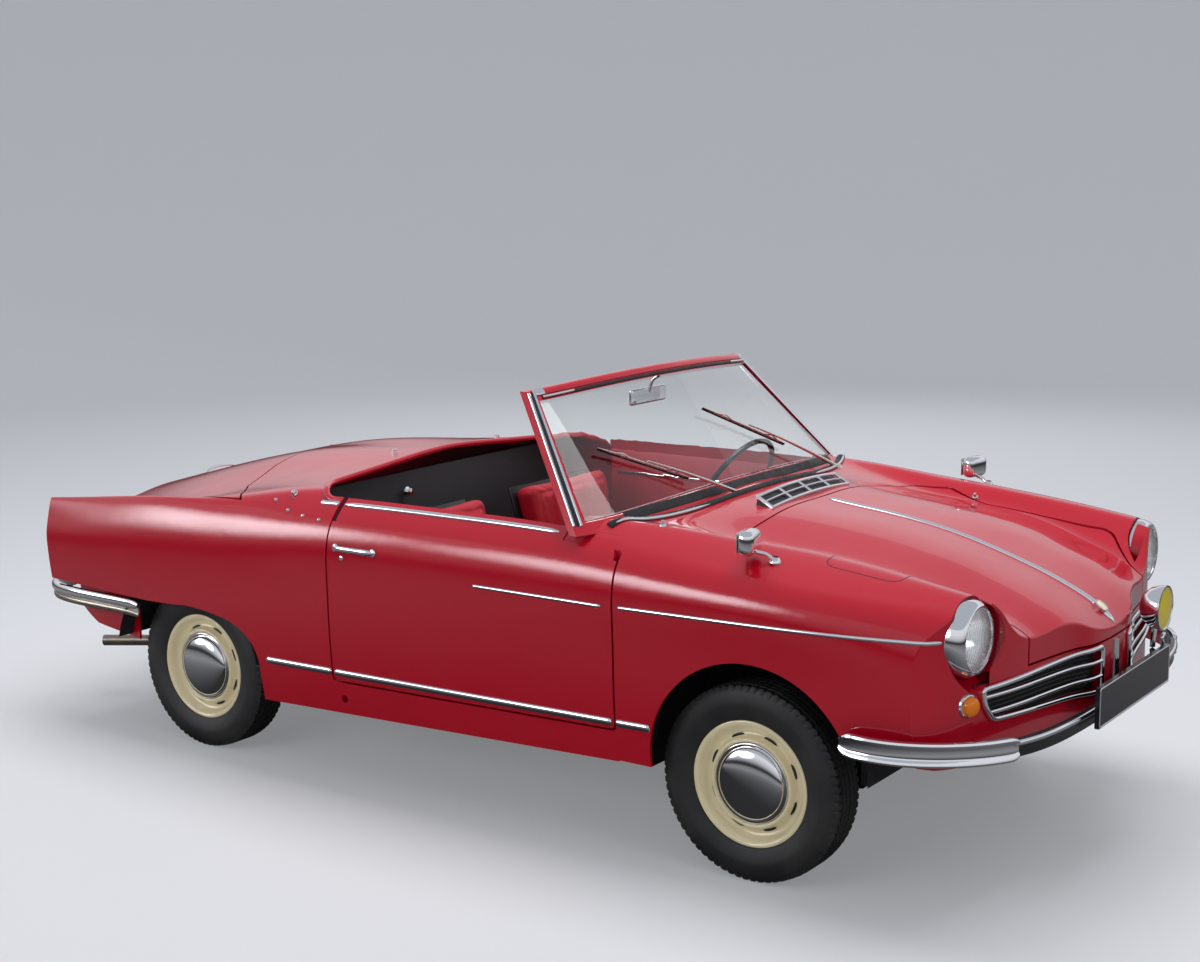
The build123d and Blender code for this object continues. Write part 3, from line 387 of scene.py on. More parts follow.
def rounded_box(size, radius, steps=4):
    """Box of this size about the origin with rounded edges and corners."""
    work = bmesh.new()
    bmesh.ops.create_cube(work, size=1)
    for vert in work.verts:
        vert.co = Vector(c * s for c, s in zip(vert.co, size))
    bmesh.ops.bevel(work, geom=work.edges[:], offset=radius, segments=steps, profile=0.5, affect="EDGES")
    work.verts.ensure_lookup_table()
    shape = [v.co.copy() for v in work.verts], [tuple(v.index for v in f.verts) for f in work.faces]
    work.free()
    return shape


def placed(shape, place, *turns):
    """Shape turned by (degrees, axis) pairs in order, then shifted to place."""
    matrix = Matrix.Identity(3)
    for degrees, axis in turns:
        matrix = Matrix.Rotation(math.radians(degrees), 3, axis) @ matrix
    return [matrix @ Vector(v) + Vector(place) for v in shape[0]], shape[1]


def block(size, radius, place, *turns):
    """Rounded box turned and shifted to place."""
    return placed(rounded_box(size, radius), place, *turns)


def slab(size, radius, place, *turns):
    """The same with plainer edges, for what is thin."""
    return placed(rounded_box(size, radius, 2), place, *turns)


def tapered(count):
    """Scales that round off the first and last rings of a strip."""
    scales = [1.0] * count
    for k, size in enumerate((0.25, 0.72, 0.93)):
        scales[k] = scales[-1 - k] = size
    return scales


def strip(tree, ends, profile, side):
    """Moulding along a body side between two (x, z) ends, its ends rounded off."""
    (x0, z0), (x1, z1) = ends
    reach = math.copysign(0.006, x1 - x0)
    xs = [x0, x0 + reach * 0.35, x0 + reach, *spread(x0 + 2 * reach, x1 - 2 * reach, 60)]
    xs += [x1 - reach, x1 - reach * 0.35, x1]
    hits = [from_side(tree, x, z0 + (z1 - z0) * (x - x0) / (x1 - x0), side) for x in xs]
    return ribbon(hits, profile, tapered(len(xs)))


# ---- Wheels ----
TREAD_BLOCKS = 72             # round a tyre, each with a notch before it
RIM_HALF = 0.046              # wheel's middle plane to the rim's outer lip


def tyre_shape(radius, seat, width):
    """Tyre with a ribbed sidewall, a grooved tread and notched shoulders."""
    half, groove = width / 2, radius - 0.006
    wall = [(half - inward, seat + up) for inward, up in mm(20, 0, 16, 14, 10, 18, 5, 32, 1, 50, 0, 62)]
    wall += [(half - inward, radius - down) for inward, down in mm(2, 34, 4, 22, 4.5, 21, 6, 14, 12, 5.5)]
    crown = [(-0.052, radius - 0.0025), (-0.0405, radius - 0.0008), (-0.04, groove), (-0.0375, groove)]
    for start, rib in ((-0.036, 0.0135), (-0.019, 0.0165), (0.0025, 0.0165), (0.0225, 0.0135)):
        end = start + rib
        crown += [(start, radius), (end, radius), (end + 0.0005, groove), (end + 0.003, groove)]
    crown += [(0.0405, radius - 0.0008), (0.052, radius - 0.0025)]
    profile = [*[(-y, r) for y, r in wall], *crown, *reversed(wall)]
    verts, faces = lathe(profile, ORIGIN, LEFT, TREAD_BLOCKS * 4, closed=True)
    for i, vert in enumerate(verts):
        reach = math.hypot(vert.x, vert.z)
        notched = i // len(profile) % 4 == 0 and reach > radius - 0.016
        if notched:
            depth = 0.0045 if abs(vert.y) > 0.04 else 0.0015
            vert.x *= 1 - depth / reach
            vert.z *= 1 - depth / reach
    return verts, faces


def rim_shape(lip, seat):
    """Rolled rim lip, deep valley and raised ring round the hub cap."""
    half = RIM_HALF
    barrel = [(-half, seat + 0.01), (-half, seat), (0.012 - half, seat - 0.004)]
    barrel += [(half - inward, seat + up) for inward, up in mm(30, -20, 22, -6, 4, -1, 0, 4)]
    face = [(half + out, lip - down) for out, down in mm(
        1, 4, 3, 1, 5.5, 0, 7.8, 2, 8.2, 6, 6, 11, 1, 15, -4, 18, -12, 22, -18, 28, -20, 36, -17, 43,
        -8, 47, -1, 50, 1, 53, 0, 57, -6, 60, -12, 62)]
    hub = [(half - 0.014, 0.06), (half - 0.014, 0.0)]
    return lathe([*barrel, *face, *hub], ORIGIN, LEFT, 128)


def cap_shape(radius, rise):
    """Domed hub cap with a rolled edge and a shallow step."""
    base = RIM_HALF - 0.006
    profile = [(base + out, radius - inward) for out, inward in mm(-6, 2, -1, 0, 3, 1, 4.5, 4, 3, 8)]
    for lean in (math.pi / 2 * i / 14 for i in range(15)):
        profile.append((base + 0.003 + rise * math.sin(lean) ** 0.9, (radius - 0.01) * math.cos(lean)))
    return lathe(profile, ORIGIN, LEFT, 128)


def rim_slot_painted_shade(lip):
    """Dark raised strips in the rim's valley, painted shade that stands in for its ventilation slot
    openings.
    """
    slot_shades, reach = [], lip - 0.0405
    for k in range(8):
        turn = 2 * math.pi * (k + 0.5) / 8
        path = [(reach * math.cos(a), RIM_HALF - 0.0172, reach * math.sin(a))
                for a in spread(turn - 0.16, turn + 0.16, 9)]
        # each strip is dark rubber laid on the rim, painted shade in place of an open slot
        slot_shades.append(sweep(path, [LEFT] * 9, half_round(0.008, 0.0012), tapered(9)))
    return join(*slot_shades)


def make_wheels():
    """Tyre, rim, dark strips painted as the shade of the rim's slot openings, and hub cap of each wheel."""
    for name, flip in ((f"{end}_{side}", flip) for end in ("front", "rear") for side, flip in SIDES):
        low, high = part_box(f"tyre_{name}")
        rim_low, rim_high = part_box(f"rim_{name}")
        hub, lip = middle(f"tyre_{name}"), (rim_high.z - rim_low.z) / 2
        seat = lip - 0.015
        tyre = tyre_shape((high.z - low.z) / 2, seat, high.y - low.y)
        for label, (verts, faces), finish, smooth, stands_for in (
                ("tread", tyre, "tyre", 25, [f"tyre_{name}"]),
                ("disc", rim_shape(lip, seat), "ivory", 50, [f"rim_{name}"]),
                # dark strips that paint the shade of the rim's slot openings
                ("rim_slot_painted_shade", rim_slot_painted_shade(lip), "rubber", 35, []),
                ("hub_cap", cap_shape(0.107, 0.026), "chrome", 60, [])):
            outward = [(v[0] + hub.x, v[1] * flip + hub.y, v[2] + hub.z) for v in verts]
            piece(f"{label}_{name}", (outward, faces), finish, f"wheel_{name}", smooth, stands_for)


# ---- Body trim ----
DOOR_GAPS = ((-1.382, -1.37), (-0.378, -0.366))      # x of the mouldings' ends behind and before a door
SILL_STRIP = ((-1.652, 0.357), (-0.258, 0.3817))      # (x, z) of the low moulding's two ends


def sill_run(*places):
    """Ends of a stretch of the low moulding."""
    (x0, z0), (x1, z1) = SILL_STRIP
    return [(fore(x), z0 + (z1 - z0) * (x - x0) / (x1 - x0)) for x in places]


def side_strips():
    """Bright mouldings low and high along the sides, split at the doors."""
    low, high = half_round(0.022, 0.007), half_round(0.011, 0.0045)
    for name, side in SIDES:
        wings = tree_of(f"front_wing_{name}", f"rear_wing_{name}", "sills")
        door = f"door_{name}"
        door_tree = tree_of(door)
        piece(f"side_strips_{name}", join(
            strip(wings, sill_run(SILL_STRIP[0][0], DOOR_GAPS[0][0]), low, side),
            strip(wings, sill_run(DOOR_GAPS[1][1], SILL_STRIP[1][0]), low, side),
            strip(wings, ((fore(-0.35), 0.695), (fore(0.528), 0.713)), high, side)), "chrome")
        piece(f"door_strips_{name}", join(
            strip(door_tree, sill_run(DOOR_GAPS[0][1], DOOR_GAPS[1][0]), low, side),
            strip(door_tree, ((fore(-0.832), 0.692), (fore(-0.404), 0.692)), high, side)), "chrome", door)


def door_tops():
    """Chrome along the top inner edge of each door, run on over the wing behind it."""
    for name, side in SIDES:
        for label, body, node, ends in (
                ("door_top", f"door_{name}", f"door_{name}", (-1.362, -0.585)),
                ("door_top_end", "body", f"rear_wing_{name}", (-1.455, -1.384))):
            tree = tree_of(node)
            hits = [from_above(tree, fore(x), side * 0.688) for x in spread(*ends, 50)]
            piece(f"{label}_{name}", ribbon(hits, half_round(0.016, 0.006), tapered(50)), "chrome", body)


def door_handles():
    """Pull handle with its lock, on two feet."""
    foot = mm(-2, 12, 3, 12, 5, 9, 6, 0)
    lock = mm(-2, 7.5, 2, 7.5, 3, 6, 3, 0)
    start, end, height = fore(-1.348), fore(-1.192), 0.74
    for name, side in SIDES:
        tree = tree_of(f"door_{name}")
        hits = []
        for x in spread(start, end, 25):
            place, normal = from_side(tree, x, height, side)
            share = min(1, max(0, (x - start) / (end - start)))
            hits.append((place + normal * 0.017 * math.sin(math.pi * share) ** 0.35, normal))
        feet = [lathe(profile, *from_side(tree, fore(x), z, side), 24) for profile, x, z in (
            (foot, -1.342, height), (foot, -1.198, height), (lock, -1.318, 0.712))]
        grip = ribbon(hits, oval(0.0085, 0.0045, 16), tapered(25))
        piece(f"door_handle_{name}", join(grip, *feet), "chrome", f"door_{name}")


def bonnet_strip():
    """Moulding from the scuttle along the bonnet's crown and down the nose."""
    tree = tree_of("bonnet")
    turn = (fore(0.45), 0.5)
    hits = [from_above(tree, x, 0) for x in spread(fore(-0.145), turn[0], 70)[:-1]]
    for degrees in spread(90, 29.5, 40):
        away = Vector((math.cos(math.radians(degrees)), 0, math.sin(math.radians(degrees))))
        hits.append(cast(tree, Vector((turn[0], 0, turn[1])) + away * 2, -away))
    scales = tapered(len(hits))
    for i in range(40):
        scales[-1 - i] *= 1 + 0.35 * (1 - i / 40)
    piece("bonnet_strip", ribbon(hits, half_round(0.013, 0.006), scales), "chrome", "bonnet")
    place, normal = hits[-8]
    badge = mm(0, 21, 8.5, 21, 10.5, 18, 9, 15.5)
    piece("bonnet_boss_rim", lathe(badge, place, normal, 40), "chrome", "bonnet")
    face = lathe(mm(8.5, 16, 9.5, 12, 10.2, 0), place, normal, 40)
    piece("bonnet_boss_face", face, "ivory", "bonnet")


def nose_trim():
    """Chrome centre piece between the air intakes."""
    tree = tree_of("nose_panel")
    hits = [from_ahead(tree, 0, z) for z in spread(0.598, 0.472, 30)]
    scales = [1 + 0.5 * i / 29 for i in range(30)]
    piece("nose_trim", ribbon(hits, ridged(0.02, 0.007), scales), "chrome")


# ---- Air intakes ----
# (y, z) corners of the left intake's opening
INTAKE = ((0.092, 0.478), (0.548, 0.498), (0.578, 0.54), (0.588, 0.588), (0.092, 0.606))


def drawn_in(points, inset):
    """Corners of a convex outline moved inwards by inset."""
    found, count = [], len(points)
    inside = Vector((sum(p[0] for p in points), sum(p[1] for p in points))) / count
    for i, corner in enumerate(points):
        here, lines = Vector(corner), []
        for other in (points[i - 1], points[(i + 1) % count]):
            along = (Vector(other) - here).normalized()
            inward = Vector((-along.y, along.x))
            lines.append((along, inward if inward.dot(inside - here) > 0 else -inward))
        (a, m), (b, n) = lines
        across = Vector((b.y, -b.x))
        found.append(here + m * inset - a * ((m - n).dot(across) / a.dot(across)) * inset)
    return found


def rounded_path(points, radius, closed=True, steps=6):
    """Polygon's outline with its corners rounded off, as a run of points."""
    points = [Vector(p) for p in points]
    count, found = len(points), []
    for i, corner in enumerate(points):
        if not closed and i in (0, count - 1):
            found.append(corner)
            continue
        before = corner + (points[i - 1] - corner).normalized() * radius
        after = corner + (points[(i + 1) % count] - corner).normalized() * radius
        for t in spread(0, 1, steps):
            found.append(before * (1 - t) ** 2 + corner * 2 * t * (1 - t) + after * t ** 2)
    return found


def refined(points, step, closed=True):
    """The same run with more points on its long stretches."""
    found = []
    count = len(points)
    for i in range(count if closed else count - 1):
        a, b = points[i], points[(i + 1) % count]
        pieces = max(1, round((b - a).length / step))
        found += [a.lerp(b, k / pieces) for k in range(pieces)]
    return found if closed else [*found, points[-1]]


def grilles():
    """Bright surround, two bars and a dark mesh in each intake, in a painted flange."""
    tree = tree_of("grilles")
    inner, fall = INTAKE[0][0], 0.0363     # the opening's inner end, and how fast its top edge drops
    rings, flanges, bars, backs, wires = [], [], [], [], []
    flange = mm(-3, -34, 3, -34, 3, -1, -3, -1)
    outline = refined(rounded_path(drawn_in(INTAKE, 0.0055), 0.014), 0.012)
    edge = [v + (v - Vector((0.34, 0.545))).normalized() * 0.0075 for v in outline]
    for _, side in SIDES:
        path = [from_ahead(tree, side * y, z)[0] for y, z in outline]
        behind = [(hit.x, side * v.x, v.y) for hit, v in zip(path, edge)]
        rings.append(sweep(path, [AHEAD] * len(path), half_round(0.013, 0.007), closed=True))
        flanges.append(sweep(behind, [AHEAD] * len(path), flange, closed=True))
        for z, end in ((0.523, 0.56), (0.563, 0.577)):
            path = [from_ahead(tree, side * y, z)[0] for y in spread(0.1, end, 40)]
            bars.append(sweep(path, [AHEAD] * 40, half_round(0.011, 0.006)))
        verts = []
        for y in spread(0.08, 0.586, 42):
            low = 0.47 + (y - inner) * 0.044 if y < 0.548 else 0.49 + (y - 0.548) * 1.6
            edge_y = min(max(y, 0.108), 0.572)
            x = from_ahead(tree, side * edge_y, 0.6005 - (edge_y - inner) * fall)[0].x - 0.026
            verts += [(x, side * y, low), (x, side * y, 0.612 - y * fall)]
        backs.append((verts, grid_faces(42, 2)))
        for z in spread(0.49, 0.596, 10):
            path = [(foot[0] + 0.004, foot[1], z)
                    for foot, top in zip(verts[::2], verts[1::2]) if foot[2] < z < top[2]]
            wires.append(rod(path, 0.0012, 6))
    piece("grille_surrounds", join(*rings), "chrome", replaces=["grilles"])
    piece("grille_flanges", join(*flanges), "paint")
    piece("grille_bars", join(*bars), "chrome")
    piece("grille_backs", join(*backs), "matt")
    piece("grille_wires", join(*wires), "black")


# ---- Bumpers ----
def around(tree, x, z, degrees):
    """Points found by rays towards (x, 0, z) from these bearings, 0 being ahead."""
    hits = []
    for bearing in degrees:
        away = Vector((math.cos(math.radians(bearing)), math.sin(math.radians(bearing)), 0))
        hits.append(cast(tree, Vector((x, 0, z)) + away * 2.5, -away))
    return hits


BUMPER_SECTION = whole(mm(-30.5, -4, -31.2, 2, -29, 7.5, -24, 10, -18, 8.5, -13.5, 4.5, -9, 3))


def bumper_ends(count):
    """Scales that round a bumper's first end."""
    return [math.sqrt(1 - (1 - min(1, (i + 0.6) / 5)) ** 2) for i in range(count)]


def bumpers():
    """Two-part front bumper whose middle is a chrome ridge over a black strip painted as the blade's dark
    reflection of the floor, and a rear one that wraps the tail.
    """
    front, centre, level = tree_of("front_bumper"), fore(0.295), 0.449
    hits = around(front, centre, level, [*spread(89.6, 86, 6), *spread(85, 56, 44)])
    ends = bumper_ends(len(hits))
    ends[-3:] = [0.98, 0.9, 0.7]
    sides = both_sides(ribbon(hits, BUMPER_SECTION, ends))
    piece("front_bumper_sides", sides, "chrome", replaces=["front_bumper"])
    hits = around(front, centre, level, spread(57, -57, 90))
    upper = ribbon(moved(hits, 0, 0, 0.013), half_round(0.015, 0.007, 0.006))
    piece("front_bumper_middle", upper, "chrome")
    # black strip below the chrome ridge: painted reflection of the dark floor in the lower half of the
    # chrome middle blade
    piece("front_bumper_painted_reflection", ribbon(hits, whole(mm(-22, -12, -22, -1))), "black")

    bearings = [*spread(90.4, 94, 6), *spread(95, 265, 120), *spread(266, 269.6, 6)]
    hits = around(tree_of("rear_bumper"), aft(-0.2), 0.435, bearings)
    ends = bumper_ends(len(hits))
    ends = [a * b for a, b in zip(ends, reversed(ends))]
    upper = ribbon(moved(hits, 0, 0, 0.011), half_round(0.034, 0.012), ends)
    lower = ribbon(moved(hits, 0, 0, -0.019), half_round(0.02, 0.006), ends)
    piece("rear_bumper_upper", upper, "chrome", replaces=["rear_bumper"])
    piece("rear_bumper_lower", lower, "steel")
    back = whole(mm(-26, -10, -26, -0.5))
    piece("rear_bumper_back", ribbon(hits, back, ends), "chrome")


# ---- Lamps ----
LAMP_PLACE = (0.538, 0.586, 0.705)      # left headlamp's middle, x from the front axle


def dome(radius, rise, base):
    """Points of a shallow cap from its rim to its middle."""
    ball = (radius ** 2 + rise ** 2) / (2 * rise)
    full = math.asin(radius / ball)
    angles = [full * share for share in spread(1, 0, 10)]
    return [(base - ball + rise + ball * math.cos(a), ball * math.sin(a)) for a in angles]


def headlamps():
    """Chrome bezel, fluted glass, silvered bowl and bulb on each side."""
    place = at(*LAMP_PLACE)
    bezel = mm(-10, 90.5, -8, 94.5, 4, 95.8, 20, 95, 32, 91.5, 40, 86.5, 42.5, 82.5, 41.5, 79, 36, 77.5,
               28, 78, 28, 90)
    shape = both_sides(lathe(bezel, place, AHEAD, 96, closed=True))
    piece("headlamp_bezels", shape, "chrome", replaces=["headlights"])
    lens = [*dome(0.0785, 0.019, 0.036), *reversed(dome(0.0765, 0.0175, 0.034))]
    bowl = [(0.034 - 0.07 * (1 - (r / 0.078) ** 2) ** 0.8, r) for r in spread(0.078, 0.0, 14)]
    bulb = mm(-36, 10, -12, 10, -4, 8, 0, 0)
    piece("headlamp_lenses", both_sides(lathe(lens, place, AHEAD, 72)), "lens")
    piece("headlamp_reflectors", both_sides(lathe(bowl, place, AHEAD, 72)), "silvered")
    piece("headlamp_bulbs", both_sides(lathe(bulb, place, AHEAD, 24)), "figures")


def lamp_collars():
    """Painted walls between each headlamp's rim and the edge of the nose beside it."""
    tree = tree_of("front_wing_left")
    x, y, z = LAMP_PLACE
    verts, bearings = [], spread(24, 156, 45)
    for bearing in bearings:
        inward, up = math.sin(math.radians(bearing)), math.cos(math.radians(bearing))
        edge = from_ahead(tree, y - 0.088 * inward, z + 0.088 * up)[0].x
        front, back = max(edge, fore(x + 0.034)) - 0.0015, fore(x + 0.022)
        verts += [(along, y - r * inward, z + r * up)
                  for along, r in ((back, 0.0965), (front, 0.0868), (front, 0.089), (back, 0.1))]
    faces = grid_faces(len(bearings), 4, closed=True)
    faces += [(0, 1, 2, 3), tuple(range(len(verts) - 4, len(verts)))]
    piece("headlamp_collars", both_sides((verts, faces)), "paint")


def fog_lamp():
    """Yellow lamp on a stem from the bumper."""
    place = at(0.737, 0.225, 0.64)
    shell = mm(-50, 0, -47, 20, -38, 38, -20, 53, 4, 60, 14, 61.5, 19, 61, 20, 57.5, 17, 55)
    shell = lathe(shell, place, AHEAD, 72)
    stem = rod(curve([at(0.729, 0.225, 0.482), at(0.724, 0.225, 0.53), at(0.73, 0.225, 0.6)]), 0.0075)
    nut = mm(0, 15, 8, 15, 12, 10, 12, 0)
    shape = join(shell, stem, lathe(nut, at(0.729, 0.225, 0.48), UP, 6))
    piece("fog_lamp_shell", shape, "chrome", replaces=["fog_lamp"])
    lens = [*dome(0.056, 0.01, 0.0175), *reversed(dome(0.054, 0.009, 0.0155))]
    bowl = [(0.015 - 0.03 * (1 - (r / 0.055) ** 2), r) for r in spread(0.055, 0.0, 10)]
    piece("fog_lamp_lens", lathe(lens, place, AHEAD, 72), "yellow")
    piece("fog_lamp_reflector", lathe(bowl, place, AHEAD, 48), "silvered")


def indicators():
    """Orange lamp below each headlamp, turned a little outwards."""
    y, z = 0.617, 0.55
    surface, _ = from_ahead(tree_of("front_wing_left", "nose_panel"), y, z)
    place, out = (surface.x - 0.006, y, z), (0.94, 0.34, 0)
    base = mm(-14, 30, 6, 30, 10, 28, 11, 25, 8, 24)
    cap = mm(6, 24.6, 16, 24)
    cap += [(0.016 + 0.016 * math.sin(a), 0.024 * math.cos(a)) for a in spread(0.15, math.pi / 2, 8)]
    base, cap = (both_sides(lathe(profile, place, out, 48)) for profile in (base, cap))
    piece("indicator_bases", base, "chrome", replaces=["front_indicators"])
    piece("indicator_lenses", cap, "orange")


def tail_lamps():
    """Round red lamp at each side of the tail."""
    y, z = 0.654, 0.64
    surface, _ = from_behind(tree_of("rear_wing_left", "tail_panel"), y, z)
    place = (surface.x + 0.004, y, z)
    base, cap = mm(-6, 32.5, 8, 32.5, 11, 30, 11, 27, 6, 26.2), mm(4, 27.2)
    cap += [(0.009 + 0.012 * math.sin(a), 0.0268 * math.cos(a)) for a in spread(0, math.pi / 2, 9)]
    base, cap = (both_sides(lathe(profile, place, (-1, 0, 0), 56)) for profile in (base, cap))
    piece("tail_lamp_rims", base, "chrome", replaces=["tail_lamps"])
    piece("tail_lamp_lenses", cap, "red_lens")


# ---- Mirrors, vent, wipers ----
def wing_mirrors():
    """Round-edged chrome mirror on a stalk from each wing."""
    x, y, z = head = at(-0.003, 0.676, 0.894)
    foot, _ = from_above(tree_of("front_wing_left"), fore(0.056), 0.649)
    shell = block((0.044, 0.086, 0.064), 0.019, head, (-12, "Z"))
    stalk = rod(curve([foot, at(0.036, 0.654, foot.z + 0.018), at(0.01, 0.664, z - 0.026)]), 0.0052)
    ball = lathe(mm(0, 16, 4, 15.5, 10, 11.5, 15, 8), foot, (0.1, 0, 1), 28)
    piece("wing_mirror_heads", both_sides(join(shell, stalk, ball)), "chrome", replaces=["wing_mirrors"])
    glass = block((0.002, 0.074, 0.052), 0.0009, (x - 0.0222, y + 0.004, z), (-12, "Z"))
    piece("wing_mirror_glasses", both_sides(glass), "satin")


def interior_mirror():
    """Mirror hung from the screen's header on a bent arm."""
    x, y, z = place = at(-0.762, 0.0, 1.139)
    case = block((0.014, 0.184, 0.048), 0.0065, place)
    arm = rod(curve([at(-0.757, 0, 1.15), at(-0.745, 0, 1.182), at(-0.722, 0, 1.2)]), 0.005)
    piece("interior_mirror_case", join(case, arm), "chrome", replaces=["interior_mirror"])
    piece("interior_mirror_glass", block((0.0016, 0.172, 0.038), 0.0007, (x - 0.0074, y, z)), "satin")


def scuttle_vent():
    """Air intake: a dark tray under a bright frame of two rows of four openings."""
    front_x, back_x, half = fore(-0.198), fore(-0.248), 0.222
    front_z = from_above(tree_of("scuttle_panel"), front_x, 0.1)[0].z
    back_z = 0.926

    def spot(share, y, lift=0.0):
        """Point of the frame's top, from its front edge to its back."""
        sag = -0.01 * (y / half) ** 2
        rise = (back_z - front_z - 0.006) * share
        return Vector((front_x + (back_x - front_x) * share, y, front_z + 0.006 + rise + sag + lift))

    normal = Vector((back_z - front_z, 0, front_x - back_x)).normalized()
    ys = spread(-half, half, 33)
    bars = [sweep([spot(share, y) for y in ys], [normal] * 33, half_round(width, 0.005, 0.004))
            for share, width in ((0.04, 0.009), (0.5, 0.0055), (0.96, 0.009))]
    for y in spread(-half, half, 5):
        path = [spot(share, y) for share in spread(0, 1, 7)]
        bars.append(sweep(path, [normal] * 7, half_round(0.0075, 0.0055, 0.004)))
    piece("scuttle_vent_frame", join(*bars), "chrome", replaces=["scuttle_vent"])
    rows = []
    for y in ys:
        low, top = spot(0, y, -0.008), spot(1, y, -0.008)
        rows += [(low.x, y, front_z - 0.02), tuple(low), tuple(top), (back_x - 0.006, y, front_z - 0.016)]
    faces = [*grid_faces(33, 4), (0, 1, 2, 3), tuple(4 * 32 + k for k in range(4))]
    piece("scuttle_vent_tray", (rows, faces), "black")


def wipers():
    """Two arms with their blades, lying on the glass."""
    metal, rubber = [], []
    out, blade_from = Vector((0.72, 0, 0.69)), 0.42
    boss = mm(-14, 13, 4, 13, 10, 10, 13, 0)
    edge = mm(-2.2, 0, 2.2, 0, 0.8, -9, -0.8, -9)
    for a, b in (((-0.342, -0.104, 0.883), (-0.577, -0.497, 1.054)),
                 ((-0.384, 0.505, 0.88), (-0.57, 0.034, 1.103))):
        a, b = Vector(at(*a)), Vector(at(*b))
        side = (b - a).normalized().cross(out).normalized()
        arm = [a + (b - a) * t + out * (0.012 * math.sin(math.pi * t) + 0.004) for t in spread(0, 0.72, 16)]
        scales = [1.5 - 0.9 * t for t in spread(0, 1, 16)]
        metal += [lathe(boss, a, out, 24), sweep(arm, [out] * 16, half_round(0.008, 0.004, 0.003), scales)]
        rail = [a + (b - a) * t + side * 0.004 for t in spread(blade_from, 1.03, 18)]
        metal.append(sweep(rail, [out] * 18, half_round(0.006, 0.004, 0.002), tapered(18)))
        for t in (blade_from + 0.12, 0.88):
            bridge = [a + (b - a) * (t + shift) + out * rise
                      for shift, rise in ((-0.05, 0.004), (0, 0.012), (0.05, 0.004))]
            metal.append(rod(bridge, 0.0022, 8))
        rubber.append(sweep(rail, [out] * 18, edge))
    piece("wiper_arms", join(*metal), "satin", replaces=["wipers"])
    piece("wiper_blades", join(*rubber), "rubber")


# ---- Windscreen ----
# (x, y) of the screen's foot from the middle outwards
SCREEN_FOOT = ((-0.352, 0), (-0.368, 0.3), (-0.41, 0.53), (-0.462, 0.66), (-0.513, 0.722))
SCREEN_Z = (0.866, 1.209)     # a pillar's foot and top
SCREEN_Y = (0.722, 0.567)     # its outer edge there
HEADER_RISE = 0.023           # crown of the header above its ends


def header_z(y):
    """Height of the header's top edge."""
    return SCREEN_Z[1] + HEADER_RISE * (1 - (y / SCREEN_Y[1]) ** 2)


def pillar_hits(tree, side, inset):
    """Points up a pillar's front face, this far in from its outer edge."""
    (foot_y, top_y), (foot_z, top_z) = SCREEN_Y, SCREEN_Z
    hits = []
    for share in spread(0.05, 0.985, 30):
        y = side * (foot_y + (top_y - foot_y) * share - inset)
        hits.append(from_ahead(tree, y, foot_z + (top_z - foot_z) * share))
    return hits


def windscreen():
    """Frame's bright and black strips, its painted header, and the seal round its foot."""
    tree = tree_of("windscreen_frame")
    bright, black = [], []
    for _, side in SIDES:
        for inset, width, rise, shapes in (
                (0.0055, 0.0085, 0.005, bright), (0.013, 0.012, 0.002, black),
                (0.0205, 0.0085, 0.005, bright)):
            shapes.append(ribbon(pillar_hits(tree, side, inset), half_round(width, rise)))
    lean = Vector((0.7, 0, 0.71)).normalized()

    def across_top(low, high, count, drop, section):
        """Moulding along the header, this far below its top edge."""
        path = [from_ahead(tree, y, header_z(y) - drop)[0] for y in spread(low, high, count)]
        return sweep(path, [lean] * count, section)

    cap = mm(-15.5, -24, -17.5, -18, -18, -4, -16.5, 3, -12, 5.5, -2, 5.5, 3, 3, 3.5, -2, 3.5, -24)
    clip = [(a * 1.1, o * 1.12 + 0.0006) for a, o in cap]
    piece("screen_header", across_top(-0.553, 0.553, 81, 0.011, cap), "paint")
    black.append(across_top(-0.535, 0.535, 81, 0.0195, half_round(0.012, 0.004)))
    for strip_ends, clip_ends in (((0.42, 0.534), (0.52, 0.556)), ((-0.534, -0.42), (-0.556, -0.52))):
        bright.append(across_top(*strip_ends, 14, 0.019, half_round(0.01, 0.0065)))
        bright.append(across_top(*clip_ends, 6, 0.011, clip))
    piece("screen_brightwork", join(*bright), "chrome")
    rail = [from_ahead(tree, y, 0.914 - 0.058 * y * y) for y in spread(-0.57, 0.57, 90)]
    black.append(ribbon(rail, half_round(0.03, 0.003)))
    piece("screen_rubber", join(*black), "rubber")

    body = tree_of("scuttle_panel", "front_wing_left", "front_wing_right")
    foot = [at(x, -y, 0) for x, y in reversed(SCREEN_FOOT)] + [at(x, y, 0) for x, y in SCREEN_FOOT[1:]]
    hits = [from_above(body, p.x + 0.006, p.y) for p in curve(foot) if abs(p.y) < 0.655]
    piece("screen_seal", ribbon(hits, half_round(0.026, 0.01, 0.004)), "rubber")
    near = moved([(p, n) for p, n in hits if p.y < -0.3], 0.01, 0, 0.004)
    base = ribbon(near, half_round(0.008, 0.0055), tapered(len(near)))
    piece("screen_base_strips", both_sides(base), "chrome")


# ---- Cockpit ----
SEAT_Y = 0.33                # each seat's middle, and the steering wheel's
WHEEL_CENTRE = (-0.665, SEAT_Y, 0.802)
WHEEL_AXIS = Vector((-0.88, 0, 0.475)).normalized()


